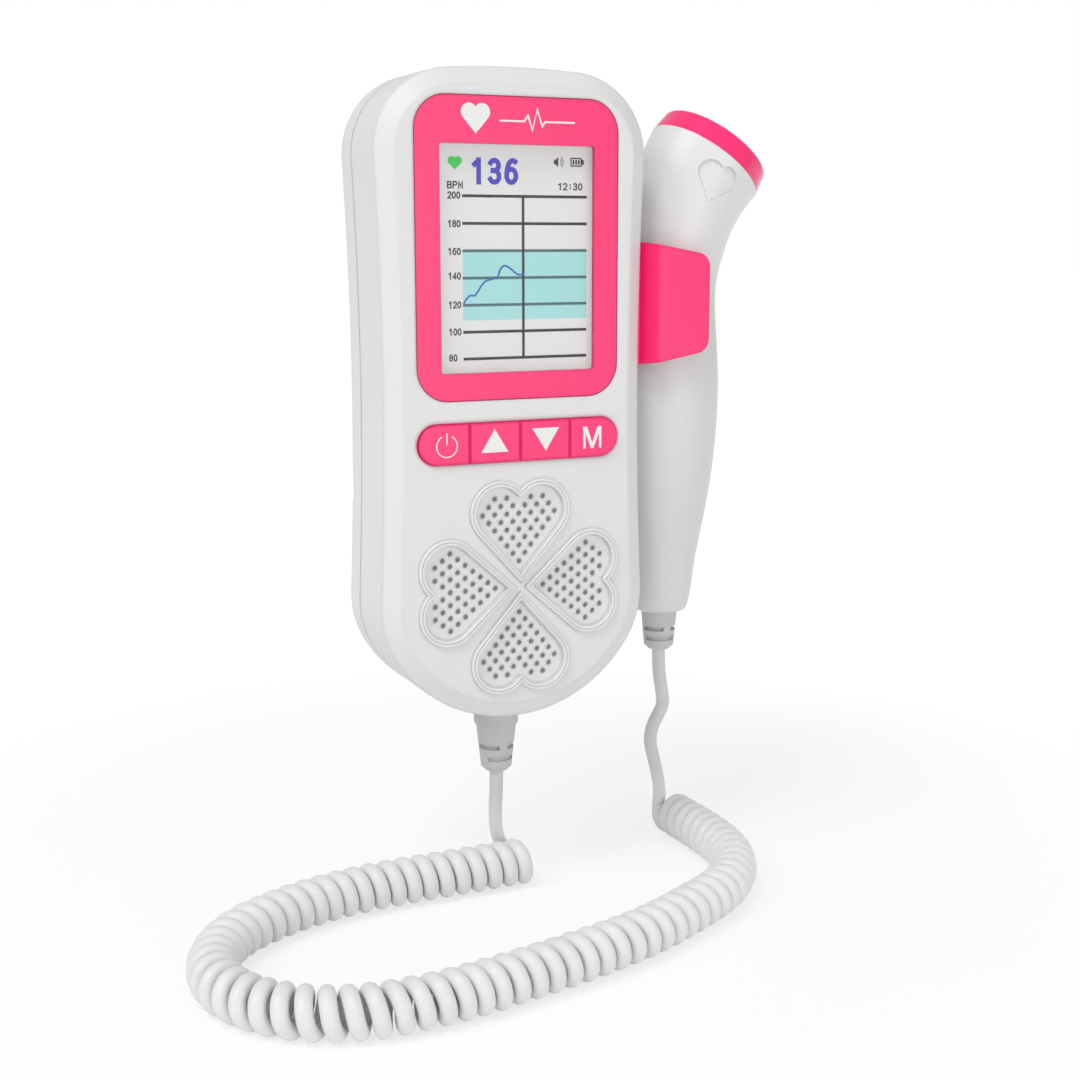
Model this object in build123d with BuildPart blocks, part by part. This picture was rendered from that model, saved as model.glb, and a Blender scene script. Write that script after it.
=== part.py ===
from build123d import *

import math
import os

# Handheld fetal doppler: a flat unit with a display, buttons and a speaker, and a curly cord
# to a probe that parks in a clip on the unit's right side. Millimetres, +Z up. The front faces
# -Y. The origin is the middle of the unit's flat back.

os.makedirs("parts", exist_ok=True)

# ---------------------------------------------------------------- driving dimensions

# Case outline, seen from the front
case_height = 150.3
waist_half_width = 32.2
crown_flare = 2.2  # how far the sides flare out by the time they meet the crown
foot_flare = 1.6
crown_radius = 239.0
top_corner_radius = 18.5
foot_sag = 2.1  # how much larger the foot's radius is than its half width
foot_corner_radius = 22.5

# Case depth and walls
front_depth = 18.0
rear_depth = 11.0
bevel_width = 4.0
bevel_depth = 2.8
rear_edge_radius = 5.0
wall = 2.0
face_wall = 2.4
rear_wall = 2.0
shoulder_step = 2.6  # the inner corner steps in behind the bevel and behind the rear edge
shoulder_depth = 4.0
lip_width = 1.0
lip_depth = 2.0
parting_groove = 0.3
lip_clearance = 0.05
fit_clearance = 0.1  # around pieces that drop into a pocket
moving_clearance = 0.3  # around pieces that move

# Display
bezel_width = 50.0
bezel_height = 67.26
bezel_corner = 7.5
bezel_thickness = 1.3
bezel_top_gap = 6.67
window_width = 38.22
window_height = 50.75
window_drop = 2.08  # from the bezel's middle down to the window's
lens_lip = 0.9
display_width = 42.7
display_height = 60.3
display_thickness = 2.4
display_gap = 0.15  # between the window and the display
display_ledge = 2.4  # the display's middle is this far below its active area's
holder_wall = 0.9
holder_floor = 0.8

# Buttons
button_count = 4
button_row_width = 50.6
button_height = 9.31
button_gap = 0.35
button_row_gap = 5.12  # from the bezel to the row
button_proud = 0.8
button_edge = 0.5
button_flange = 0.8
button_flange_thickness = 1.0
button_travel = 0.5
stem_radius = 2.0
plunger_radius = 1.1
switch_size = 4.5
switch_height = 1.5

# Clover grille: four pierced hearts, each drawn with its tip towards the middle
clover_gap = 4.35  # from the button row to the top heart
heart_tip = 1.0
lobe_radius = 7.45
lobe_out = 18.05
lobe_side = 5.25
rim_width = 1.5
rim_proud = 0.5
grille_recess = 0.6
hole_radius = 0.62
hole_first = 6.1
hole_row_pitch = 1.886
hole_pitch = 3.06
hole_rows = (1, 2, 3, 4, 5, 6, 7, 6, 5)

# Boards and screws
board_thickness = 1.6
board_front_gap = 4.2  # from the face's inner side to the board
board_corner = 4.0
board_top_gap = 6.15
board_reach = 22.2  # how far the board runs below the bezel
boss_radius = 3.0
screw_radius = 1.1
screw_head_radius = 2.0
screw_head_height = 1.6
screw_fit = 0.02
screw_length = 12.0
upper_screw_rise = 17.2  # above the window's middle
lower_screw_drop = 6.4  # below the clover's middle
lower_screw_x = 25.2
post_radius = 2.0
board_screw_radius = 0.85
board_screw_head = 1.8
board_screw_length = 4.0

# Parts on the board
processor_size = 12.0
processor_height = 1.4
amplifier_x = 9.0
amplifier_gap = 1.7  # above the battery compartment
amplifier_width = 6.0
amplifier_length = 5.0
amplifier_height = 1.2
capacitor_x = 14.0
capacitor_drops = (18.0, 8.0)  # below the bezel's middle
capacitor_radius = 3.15
capacitor_length = 5.8

# Speaker
speaker_radius = 20.0
cone_radius = 16.6
basket_radius = 11.5
gasket_thickness = 0.8
flange_thickness = 1.0
magnet_radius = 11.0
magnet_thickness = 2.0
magnet_gap = 0.15  # between the magnet and the battery compartment
cone_fill = 0.46  # the cone's depth, of the basket's
cone_sheet = 0.35
cone_travel = 0.3

# Battery compartment: two AA cells side by side
cell_radius = 7.2
cell_length = 50.5
cell_nub_radius = 2.75
cell_nub = 1.2
cell_gap = 0.4
spring_height = 5.0
spring_radius = 3.4
spring_wire = 0.35
plate_size = 9.0
plate_thickness = 0.4
plus_contact = 1.1
well_wall = 2.2
well_rise = 4.55  # from the middle of the button row up to the compartment's roof
door_thickness = 1.6
door_sink = 0.15
door_ledge = 1.8
tab_width = 6.0
tab_reach = 1.2
tab_thickness = 0.8
tab_spacing = 18.0

# Headphone jack
jack_x = -14.0
jack_bore_radius = 1.8
jack_bore_length = 14.0
jack_barrel_radius = 3.0
jack_width = 7.0
jack_height = 12.0

# Cord and strain reliefs
cord_diameter = 3.4
coil_diameter = 11.5
relief_depth = 15.0  # from the face to the unit's relief
collar_radius = 5.45
collar_length = 5.1
relief_length = 17.0
relief_top_radius = 4.95
relief_end_radius = 3.8
relief_neck_radius = 4.0
relief_flange_radius = 5.5
relief_flange = 2.0
relief_round = 1.1
slot_depth = 0.9
slot_height = 1.1
inner_lead_radius = 1.1

# Probe
probe_x = 47.05
probe_y = -11.5
probe_foot_z = -56.3
probe_wall = 1.8
head_tilt = 36.3
head_bend_radius = 55.0
bend_corner_z = 40.7
probe_profile = (  # distance along the probe from its foot, and radius there
    (0.0, 6.8),
    (10.3, 8.6),
    (23.3, 10.85),
    (36.3, 12.9),
    (48.3, 13.9),
    (60.3, 14.08),
    (73.3, 13.25),
    (83.3, 13.04),
    (92.3, 13.5),
    (103.3, 14.0),
    (114.7, 15.05),
)
badge_distance = 102.8  # from the probe's foot to the tip of the heart pressed into its head
badge_side = -1.0
badge_length = 8.85
badge_depth = 0.15  # at its tip
badge_slope = 0.055  # how fast it deepens towards its lobes
ring_height = 5.27
ring_top_radius = 14.3
ring_inner_radius = 11.4
ring_spigot_radius = 12.4
ring_spigot = 3.0
ring_edge = 0.9
face_thickness = 2.2
face_sink = 0.4
piezo_radius = 10.0
piezo_thickness = 0.7
piezo_gap = 0.6
backing_thickness = 4.0
probe_boss_radius = 3.0
probe_screw_z = (12.0, -36.0)
probe_foot_round = 1.4
probe_screw_radius = 1.0
probe_screw_head = 1.8
probe_screw_head_height = 1.3
probe_screw_length = 10.0
probe_screw_seat = 4.5
probe_board_width = 14.0
probe_board_height = 34.0
probe_board_z = -12.0
probe_board_thickness = 1.2
probe_relief_length = 10.45
probe_relief_radius = 4.65
probe_flange_radius = 4.6

# Clip
clip_z = 22.2
clip_root_height = 29.4
clip_tip_height = 22.8
clip_thickness = 2.0
clip_tip_radius = 3.5
clip_reach = 50.2
clip_inset = 3.0  # from the side wall to the middle of the clip's hidden web
clip_clearance = 0.4
clip_root_depth = 12.0  # the front arm's root, ahead of the probe's axis
clip_knee = 2.9  # how far the front arm steps sideways where it slants forward
clip_rear_slant = 1.0

# ---------------------------------------------------------------- places worked out from them

case_top = case_height / 2
case_depth = front_depth + rear_depth
parting_y = -rear_depth
face_y = -case_depth
face_inner_y = face_y + face_wall
rear_inner_y = -rear_wall
crown_half_width = waist_half_width + crown_flare
foot_half_width = waist_half_width + foot_flare
foot_radius = foot_half_width + foot_sag

bezel_z = case_top - bezel_top_gap - bezel_height / 2
window_z = bezel_z - window_drop
pocket_floor_y = face_y + bezel_thickness
button_z = bezel_z - bezel_height / 2 - button_row_gap - button_height / 2
clover_z = button_z - button_height / 2 - clover_gap - lobe_out - lobe_radius

board_front_y = face_inner_y + board_front_gap
board_rear_y = board_front_y + board_thickness
board_top = case_top - board_top_gap
board_bottom = bezel_z - bezel_height / 2 - board_reach
boss_x = waist_half_width - wall - lip_width - lip_clearance - boss_radius + 0.65
board_half_width = boss_x - boss_radius - moving_clearance
upper_screw_z = bezel_z + upper_screw_rise
lower_screw_z = clover_z - lower_screw_drop

display_z = window_z - display_ledge
display_front_y = face_inner_y + display_gap
display_rear_y = display_front_y + display_thickness

cell_x = cell_radius + cell_gap / 2
well_half_width = cell_x + cell_radius + cell_gap
well_height = cell_length + spring_height + plate_thickness + plus_contact
well_top = button_z + well_rise
well_bottom = well_top - well_height
door_inner_y = -door_sink - door_thickness
cell_y = door_inner_y - fit_clearance - cell_radius - fit_clearance
well_floor_y = cell_y - cell_radius - fit_clearance
door_half_width = well_half_width + door_ledge
door_top = well_top + door_ledge
door_bottom = well_bottom - door_ledge

speaker_front_y = face_inner_y + gasket_thickness
basket_rear_y = well_floor_y - well_wall - magnet_gap - magnet_thickness
basket_depth = basket_rear_y - speaker_front_y

relief_y = face_y + relief_depth
relief_end_z = -case_top - relief_length
coil_radius = coil_diameter / 2
floor_z = -121.65
coil_z = floor_z + coil_radius


def sagitta(radius, half_chord):
    """Height of a circular arc above its chord."""
    return radius - math.sqrt(radius**2 - half_chord**2)


def front_plane(y):
    """Plane at depth y, drawn as seen from the front: local x is right and local y is up."""
    return Plane.XZ.offset(-y)


def upright_plane(x, y, turn=0.0):
    """Vertical half-section plane through an upright axis: local x runs outwards, local y up."""
    angle = math.radians(turn)
    outward = (math.cos(angle), math.sin(angle), 0)
    normal = (math.sin(angle), -math.cos(angle), 0)
    return Plane(origin=(x, y, 0), x_dir=outward, z_dir=normal)


def upright_axis(x, y):
    """Upright axis through x, y."""
    return Axis((x, y, 0), (0, 0, 1))


# ---------------------------------------------------------------- shared outlines

crown_end_z = case_top - sagitta(crown_radius, crown_half_width)
foot_end_z = -case_top + sagitta(foot_radius, foot_half_width)


def side_circle():
    """Centre and radius of the circle that the right side follows, which bows in at the waist."""
    top_x = crown_half_width - waist_half_width
    foot_x = foot_half_width - waist_half_width
    top_size = top_x**2 + crown_end_z**2
    foot_size = foot_x**2 + foot_end_z**2
    double_area = 2 * (top_x * foot_end_z - foot_x * crown_end_z)
    centre_x = (top_size * foot_end_z - foot_size * crown_end_z) / double_area
    centre_z = (top_x * foot_size - foot_x * top_size) / double_area
    return waist_half_width + centre_x, centre_z, math.hypot(centre_x, centre_z)


side_x, side_z, side_radius = side_circle()


def side_meeting(end_z, end_radius, inset, way):
    """Where a round end's circle meets the right side, stepped in; way is 1 above and -1 below."""
    rise = side_z - end_z
    span = math.hypot(side_x, rise)
    along = (end_radius**2 - (side_radius + inset) ** 2 + span**2) / (2 * span)
    across = way * math.sqrt(end_radius**2 - along**2)
    x = (along * side_x - across * rise) / span
    z = end_z + (along * rise + across * side_x) / span
    return x, z


def stepped_outline(inset):
    """The case's outline from the front, stepped in by the given amount."""
    top_x, top_z = side_meeting(case_top - crown_radius, crown_radius - inset, inset, 1)
    foot_x, foot_z = side_meeting(foot_radius - case_top, foot_radius - inset, inset, -1)
    waist_x = side_x - math.sqrt((side_radius + inset) ** 2 - side_z**2)
    with BuildSketch() as outline:
        with BuildLine():
            ThreePointArc((-top_x, top_z), (0, case_top - inset), (top_x, top_z))
            ThreePointArc((top_x, top_z), (waist_x, 0), (foot_x, foot_z))
            ThreePointArc((foot_x, foot_z), (0, inset - case_top), (-foot_x, foot_z))
            ThreePointArc((-foot_x, foot_z), (-waist_x, 0), (-top_x, top_z))
        make_face()
        fillet(outline.vertices().group_by(Axis.Y)[-1], radius=top_corner_radius - inset)
        fillet(outline.vertices().group_by(Axis.Y)[0], radius=foot_corner_radius - inset)
    return outline.sketch


case_outline = stepped_outline(0)
wall_outline = stepped_outline(wall)
shoulder_outline = stepped_outline(wall + shoulder_step)
groove_outline = stepped_outline(parting_groove)
lip_root_outline = stepped_outline(wall - lip_width / 2)
lip_outline = stepped_outline(wall + lip_clearance)
lip_inner_outline = stepped_outline(wall + lip_clearance + lip_width)

# One heart, tip at the origin's side and lobes up. Its straight sides touch the lobes.
lobe_distance = math.hypot(lobe_out - heart_tip, lobe_side)
side_angle = math.atan2(lobe_side, lobe_out - heart_tip) + math.asin(lobe_radius / lobe_distance)
side_length = math.sqrt(lobe_distance**2 - lobe_radius**2)
touch_x = side_length * math.sin(side_angle)
touch_y = heart_tip + side_length * math.cos(side_angle)

with BuildSketch() as heart:
    with BuildLine():
        Polyline(
            (0, heart_tip),
            (touch_x, touch_y),
            (lobe_side, lobe_out),
            (-lobe_side, lobe_out),
            (-touch_x, touch_y),
            close=True,
        )
    make_face()
    with Locations((lobe_side, lobe_out), (-lobe_side, lobe_out)):
        Circle(lobe_radius)

with BuildSketch() as heart_floor:
    add(heart.sketch)
    offset(amount=-rim_width)


def grille_points():
    """Centres of one heart's holes: staggered rows, with the cleft's own hole left out."""
    points = []
    for row, count in enumerate(hole_rows):
        out = hole_first + row * hole_row_pitch
        for index in range(count):
            side = (index - (count - 1) / 2) * hole_pitch
            under_cleft = row == len(hole_rows) - 1 and abs(side) < hole_pitch / 2
            if not under_cleft:
                points.append((side, out))
    return points


def clover_points():
    """Centres of all four hearts' holes, about the clover's middle."""
    points = []
    for quarter in range(4):
        angle = math.radians(90 * quarter)
        for side, out in grille_points():
            x = side * math.cos(angle) - out * math.sin(angle)
            z = side * math.sin(angle) + out * math.cos(angle)
            points.append((x, z + clover_z))
    return points


# ---------------------------------------------------------------- clip

probe_belly_radius = max(radius for _, radius in probe_profile)
clip_arm_offset = probe_belly_radius + clip_clearance + clip_thickness / 2
clip_front_y = probe_y - clip_arm_offset
clip_rear_y = probe_y + clip_arm_offset
clip_web_x = waist_half_width - clip_inset
clip_root_y = probe_y - clip_root_depth
clip_slant_x = waist_half_width + 1.9
clip_rear_root_y = probe_y + 4.7
clip_rear_knee_x = clip_web_x + (clip_rear_y - clip_rear_root_y) * clip_rear_slant


def clip_section(width):
    """Plan of the clip as a band of the given width: web inside the wall, and two arms."""
    with BuildSketch() as section:
        with BuildLine() as centre:
            Polyline(
                (clip_reach, clip_front_y),
                (clip_slant_x + clip_knee, clip_front_y),
                (clip_slant_x, clip_root_y),
                (clip_web_x, clip_root_y),
                (clip_web_x, clip_rear_root_y),
                (clip_rear_knee_x, clip_rear_y),
                (clip_reach, clip_rear_y),
            )
        trace(centre.line, line_width=width)
    return section.sketch


with BuildPart() as probe_clip:
    with BuildSketch(Plane.XY.offset(clip_z - clip_root_height / 2)):
        add(clip_section(clip_thickness))
    extrude(amount=clip_root_height)
    with BuildSketch(front_plane(clip_rear_y + clip_thickness)) as clip_profile:
        with BuildLine():
            Polyline(
                (clip_web_x - clip_thickness, clip_z - clip_root_height / 2),
                (waist_half_width, clip_z - clip_root_height / 2),
                (clip_reach, clip_z - clip_tip_height / 2),
                (clip_reach, clip_z + clip_tip_height / 2),
                (waist_half_width, clip_z + clip_root_height / 2),
                (clip_web_x - clip_thickness, clip_z + clip_root_height / 2),
                close=True,
            )
        make_face()
        fillet(clip_profile.vertices().group_by(Axis.X)[-1], radius=clip_tip_radius)
    extrude(amount=clip_rear_y - clip_front_y + 2 * clip_thickness, mode=Mode.INTERSECT)

with BuildPart() as clip_slot:
    with BuildSketch(Plane.XY.offset(clip_z - clip_root_height / 2 - fit_clearance)):
        add(clip_section(clip_thickness + 2 * fit_clearance))
    extrude(amount=clip_root_height + 2 * fit_clearance)

# ---------------------------------------------------------------- front shell

screw_places = (
    (boss_x, upper_screw_z),
    (-boss_x, upper_screw_z),
    (lower_screw_x, lower_screw_z),
    (-lower_screw_x, lower_screw_z),
)
post_places = (
    (board_half_width - 3.2, board_top - 3.0),
    (-board_half_width + 3.2, board_top - 3.0),
    (board_half_width - 3.7, board_bottom + 3.2),
    (-board_half_width + 3.7, board_bottom + 3.2),
)

with BuildPart() as front_shell:
    with BuildSketch(front_plane(parting_y)):
        add(case_outline)
    extrude(amount=front_depth)
    shell_face = front_shell.faces().sort_by(Axis.Y)[0]
    chamfer(shell_face.edges(), length=bevel_width, length2=bevel_depth, reference=shell_face)
    with BuildSketch(front_plane(parting_y)):
        add(wall_outline)
    extrude(amount=front_depth - shoulder_depth, mode=Mode.SUBTRACT)
    with BuildSketch(front_plane(face_y + shoulder_depth)):
        add(shoulder_outline)
    extrude(amount=shoulder_depth - face_wall, mode=Mode.SUBTRACT)
    # raised rims round the hearts, and their sunk floors
    with BuildSketch(front_plane(face_y)):
        with Locations((0, clover_z)):
            for quarter in range(4):
                add(heart.sketch, rotation=90 * quarter)
    extrude(amount=rim_proud)
    with BuildSketch(front_plane(face_y - rim_proud)):
        with Locations((0, clover_z)):
            for quarter in range(4):
                add(heart_floor.sketch, rotation=90 * quarter)
    extrude(amount=-rim_proud - grille_recess, mode=Mode.SUBTRACT)
    # bosses for the case screws, posts for the board, and feet that hold the speaker
    with BuildSketch(front_plane(face_inner_y)):
        with Locations(*screw_places):
            Circle(boss_radius)
    extrude(amount=-(parting_y - fit_clearance - face_inner_y))
    with BuildSketch(front_plane(face_inner_y)):
        with Locations(*post_places):
            Circle(post_radius)
    extrude(amount=-board_front_gap)
    with BuildSketch(front_plane(face_inner_y)):
        with Locations((0, clover_z)):
            with PolarLocations(speaker_radius + post_radius * 0.65, 4, start_angle=45):
                Circle(post_radius * 0.6)
    extrude(amount=-gasket_thickness - flange_thickness)
    # openings
    with BuildSketch(front_plane(face_y)):
        with Locations((0, bezel_z)):
            RectangleRounded(
                bezel_width + 2 * fit_clearance,
                bezel_height + 2 * fit_clearance,
                bezel_corner + fit_clearance,
            )
    extrude(amount=-bezel_thickness, mode=Mode.SUBTRACT)
    with BuildSketch(front_plane(face_y)):
        with Locations((0, window_z)):
            Rectangle(
                window_width + 2 * lens_lip + 2 * fit_clearance,
                window_height + 2 * lens_lip + 2 * fit_clearance,
            )
        with Locations((0, button_z)):
            SlotOverall(button_row_width + button_gap, button_height + button_gap)
    extrude(amount=-face_wall, mode=Mode.SUBTRACT)
    with BuildSketch(front_plane(face_y)):
        with Locations(*clover_points()):
            Circle(hole_radius)
    extrude(amount=-face_wall, mode=Mode.SUBTRACT)
    with BuildSketch(front_plane(parting_y)):
        with Locations(*screw_places):
            Circle(screw_radius + screw_fit)
    extrude(amount=screw_length, mode=Mode.SUBTRACT)
    with BuildSketch(front_plane(board_front_y)):
        with Locations(*post_places):
            Circle(board_screw_radius + screw_fit)
    extrude(amount=board_screw_length - board_thickness + fit_clearance, mode=Mode.SUBTRACT)
    with BuildSketch(Plane.XY.offset(-case_top - 1)):
        with Locations((0, relief_y)):
            Circle(relief_neck_radius + lip_clearance)
    extrude(amount=wall + 3, mode=Mode.SUBTRACT)
    with BuildSketch(Plane.XY.offset(-case_top + wall - 0.35)):
        with Locations((0, relief_y)):
            Circle(relief_flange_radius + lip_clearance)
    extrude(amount=relief_flange + 2, mode=Mode.SUBTRACT)
    with BuildSketch(Plane.XY.offset(case_top - wall - 3)):
        with Locations((jack_x, board_rear_y + jack_barrel_radius)):
            Circle(jack_barrel_radius + lip_clearance)
    extrude(amount=wall + 4, mode=Mode.SUBTRACT)
    add(clip_slot.part, mode=Mode.SUBTRACT)

# ---------------------------------------------------------------- rear shell

with BuildPart() as rear_shell:
    with BuildSketch(front_plane(parting_y)):
        add(case_outline)
    extrude(amount=-rear_depth)
    fillet(rear_shell.faces().sort_by(Axis.Y)[-1].edges(), radius=rear_edge_radius)
    # a fine groove along the parting line
    with BuildSketch(front_plane(parting_y)):
        add(case_outline)
        add(groove_outline, mode=Mode.SUBTRACT)
    extrude(amount=-parting_groove, mode=Mode.SUBTRACT)
    with BuildSketch(front_plane(parting_y)):
        add(wall_outline)
    extrude(amount=-(rear_depth - rear_edge_radius), mode=Mode.SUBTRACT)
    with BuildSketch(front_plane(-rear_edge_radius)):
        add(shoulder_outline)
    extrude(amount=-(rear_edge_radius - rear_wall), mode=Mode.SUBTRACT)
    # lip that locates the shells on each other
    with BuildSketch(front_plane(parting_y + lip_depth)):
        add(lip_root_outline)
    extrude(amount=lip_depth)
    with BuildSketch(front_plane(parting_y)):
        add(lip_outline)
    extrude(amount=lip_depth)
    with BuildSketch(front_plane(parting_y + lip_depth)):
        add(lip_inner_outline)
    extrude(amount=2 * lip_depth, mode=Mode.SUBTRACT)
    # bosses and the battery compartment
    with BuildSketch(front_plane(rear_inner_y)):
        with Locations(*screw_places):
            Circle(boss_radius)
    extrude(amount=rear_inner_y - parting_y)
    with BuildSketch(front_plane(rear_inner_y)):
        with Locations((0, (well_top + well_bottom) / 2)):
            Rectangle(2 * (well_half_width + well_wall), well_height + 2 * well_wall)
    extrude(amount=rear_inner_y - well_floor_y + well_wall)
    with BuildSketch(front_plane(0)):
        with Locations((0, (well_top + well_bottom) / 2)):
            Rectangle(2 * well_half_width, well_height)
    extrude(amount=-well_floor_y, mode=Mode.SUBTRACT)
    with BuildSketch(front_plane(0)):
        with Locations((0, (door_top + door_bottom) / 2)):
            RectangleRounded(
                2 * (door_half_width + moving_clearance),
                door_top - door_bottom + 2 * moving_clearance,
                2.0 + moving_clearance,
            )
    extrude(amount=-door_inner_y, mode=Mode.SUBTRACT)
    # slots that take the door's two tabs
    tab_slot_top = door_top + tab_reach + moving_clearance
    tab_slot_middle = (tab_slot_top + well_top) / 2
    with BuildSketch(front_plane(-door_sink - 2 * moving_clearance)):
        with Locations((tab_spacing / 2, tab_slot_middle), (-tab_spacing / 2, tab_slot_middle)):
            Rectangle(tab_width + 2 * moving_clearance, tab_slot_top - well_top)
    extrude(amount=door_thickness + tab_reach, mode=Mode.SUBTRACT)
    # screw holes with sunk heads
    with BuildSketch(front_plane(0)):
        with Locations(*screw_places):
            Circle(screw_radius + fit_clearance)
    extrude(amount=rear_depth, mode=Mode.SUBTRACT)
    with BuildSketch(front_plane(0)):
        with Locations(*screw_places):
            Circle(screw_head_radius + fit_clearance)
    extrude(amount=rear_depth / 2, mode=Mode.SUBTRACT)
    with BuildSketch(Plane.XY.offset(-case_top - 1)):
        with Locations((0, relief_y)):
            Circle(relief_neck_radius + lip_clearance)
    extrude(amount=wall + lip_width + 4, mode=Mode.SUBTRACT)
    with BuildSketch(Plane.XY.offset(-case_top + wall - 0.35)):
        with Locations((0, relief_y)):
            Circle(relief_flange_radius + lip_clearance)
    extrude(amount=relief_flange + 2, mode=Mode.SUBTRACT)
    add(clip_slot.part, mode=Mode.SUBTRACT)

with BuildPart() as battery_door:
    with BuildSketch(front_plane(-door_sink)):
        with Locations((0, (door_top + door_bottom) / 2)):
            RectangleRounded(2 * door_half_width, door_top - door_bottom, 2.0)
    extrude(amount=door_thickness)
    chamfer(battery_door.faces().sort_by(Axis.Y)[-1].edges(), length=moving_clearance)
    with BuildSketch(front_plane(door_inner_y + tab_thickness)):
        with Locations((tab_spacing / 2, door_top + tab_reach / 2), (-tab_spacing / 2, door_top + tab_reach / 2)):
            Rectangle(tab_width, tab_reach)
    extrude(amount=tab_thickness)
    with BuildSketch(front_plane(-door_sink)):
        with Locations((0, door_bottom + 8)):
            with GridLocations(1, 2.4, 1, 4):
                SlotOverall(16, 1.0)
    extrude(amount=0.4, mode=Mode.SUBTRACT)

with BuildPart() as case_screws:
    with BuildSketch(front_plane(-rear_depth / 2)):
        with Locations(*screw_places):
            Circle(screw_radius)
    extrude(amount=screw_length)
    with BuildSketch(front_plane(-rear_depth / 2)):
        with Locations(*screw_places):
            Circle(screw_head_radius)
    extrude(amount=-screw_head_height)
    with BuildSketch(front_plane(-rear_depth / 2 + screw_head_height)):
        with Locations(*screw_places):
            Rectangle(2.2, 0.5)
            Rectangle(0.5, 2.2)
    extrude(amount=0.8, mode=Mode.SUBTRACT)

# ---------------------------------------------------------------- display

with BuildPart() as display_bezel:
    with BuildSketch(front_plane(pocket_floor_y)):
        with Locations((0, bezel_z)):
            RectangleRounded(bezel_width, bezel_height, bezel_corner)
        with Locations((0, window_z)):
            RectangleRounded(window_width, window_height, 0.6, mode=Mode.SUBTRACT)
    extrude(amount=bezel_thickness)

with BuildPart() as display_window:
    with BuildSketch(front_plane(face_inner_y)):
        with Locations((0, window_z)):
            Rectangle(window_width + 2 * lens_lip, window_height + 2 * lens_lip)
    extrude(amount=face_wall - bezel_thickness)

with BuildPart() as display_module:
    with BuildSketch(front_plane(display_rear_y)):
        with Locations((0, display_z)):
            Rectangle(display_width, display_height)
    extrude(amount=display_thickness)

holder_depth = board_front_y - display_front_y
with BuildPart() as display_holder:
    with BuildSketch(front_plane(board_front_y)):
        with Locations((0, display_z)):
            Rectangle(
                display_width + 2 * fit_clearance + 2 * holder_wall,
                display_height + 2 * fit_clearance + 2 * holder_wall,
            )
    extrude(amount=holder_depth)
    with BuildSketch(front_plane(display_rear_y)):
        with Locations((0, display_z)):
            Rectangle(display_width + 2 * fit_clearance, display_height + 2 * fit_clearance)
    extrude(amount=display_thickness, mode=Mode.SUBTRACT)
    with BuildSketch(front_plane(board_front_y)):
        with Locations((0, display_z)):
            Rectangle(display_width - 2 * holder_wall, display_height - 2 * holder_wall)
    extrude(amount=holder_depth - display_thickness - holder_floor, mode=Mode.SUBTRACT)
    with BuildSketch(front_plane(board_front_y)):
        with Locations((0, display_z)):
            Rectangle(display_width * 0.7, display_height * 0.7)
        with Locations((0, display_z - display_height / 2)):
            Rectangle(18, 4 * holder_wall)
    extrude(amount=holder_depth, mode=Mode.SUBTRACT)

# flat ribbon from the display's lower edge to its socket on the board
ribbon_top_z = display_z - display_height / 2
ribbon_run_y = display_rear_y - 0.6
socket_z = ribbon_top_z - 3.4
with BuildPart() as display_socket:
    with BuildSketch(front_plane(board_front_y)):
        with Locations((0, socket_z)):
            Rectangle(18, 2.4)
    extrude(amount=1.0)

with BuildPart() as display_ribbon:
    with BuildSketch(Plane.YZ.offset(-8)):
        with BuildLine() as ribbon_line:
            Polyline(
                (ribbon_run_y, ribbon_top_z),
                (ribbon_run_y, socket_z + 2.2),
                (board_front_y - 1.2, socket_z + 0.6),
                (board_front_y - 1.2, socket_z - 1.0),
            )
        trace(ribbon_line.line, line_width=0.2)
    extrude(amount=16)

# ---------------------------------------------------------------- buttons

button_pitch = button_row_width / button_count
button_names = ("button_power", "button_up", "button_down", "button_mode")
button_rear_y = face_inner_y + fit_clearance
flange_rear_y = button_rear_y + button_flange_thickness
switch_front_y = board_front_y - switch_height
stem_rear_y = switch_front_y - button_travel - moving_clearance
buttons = {}
plungers = {}
button_centres = []
for index, button_name in enumerate(button_names):
    button_x = (index - (button_count - 1) / 2) * button_pitch
    button_centres.append((button_x, button_z))
    cap_width = button_pitch - button_gap
    with BuildPart() as button:
        with BuildSketch(front_plane(button_rear_y)):
            with Locations((0, button_z)):
                SlotOverall(button_row_width - button_gap, button_height - button_gap / 2)
            with Locations((button_x, button_z)):
                Rectangle(cap_width, button_height, mode=Mode.INTERSECT)
        extrude(amount=button_rear_y - face_y + button_proud)
        fillet(button.faces().sort_by(Axis.Y)[0].edges(), radius=button_edge)
        with BuildSketch(front_plane(flange_rear_y)):
            with Locations((0, button_z)):
                SlotOverall(button_row_width + 2 * button_flange, button_height + 2 * button_flange)
            with Locations((button_x, button_z)):
                outer = index in (0, button_count - 1)
                shift = math.copysign(button_flange, button_x) if outer else 0.0
                with Locations((shift / 2 + shift / 2, 0)):
                    Rectangle(
                        cap_width + (2 * button_flange if outer else 0.0),
                        button_height + 4 * button_flange,
                        mode=Mode.INTERSECT,
                    )
        extrude(amount=button_flange_thickness)
        with BuildSketch(front_plane(stem_rear_y)):
            with Locations((button_x, button_z)):
                Circle(stem_radius)
        extrude(amount=stem_rear_y - flange_rear_y)
    buttons[button_name] = button
    with BuildPart() as plunger:
        with BuildSketch(front_plane(stem_rear_y)):
            with Locations((button_x, button_z)):
                Circle(plunger_radius)
        extrude(amount=-(switch_front_y - stem_rear_y) - 0.6)
    plungers[button_name.replace("button", "plunger")] = plunger

with BuildPart() as tact_switches:
    with BuildSketch(front_plane(board_front_y)):
        with Locations(*button_centres):
            Rectangle(switch_size, switch_size)
    extrude(amount=switch_height)
    with BuildSketch(front_plane(switch_front_y)):
        with Locations(*button_centres):
            Circle(plunger_radius + lip_clearance)
    extrude(amount=-switch_height + 0.2, mode=Mode.SUBTRACT)

# ---------------------------------------------------------------- main board

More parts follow.
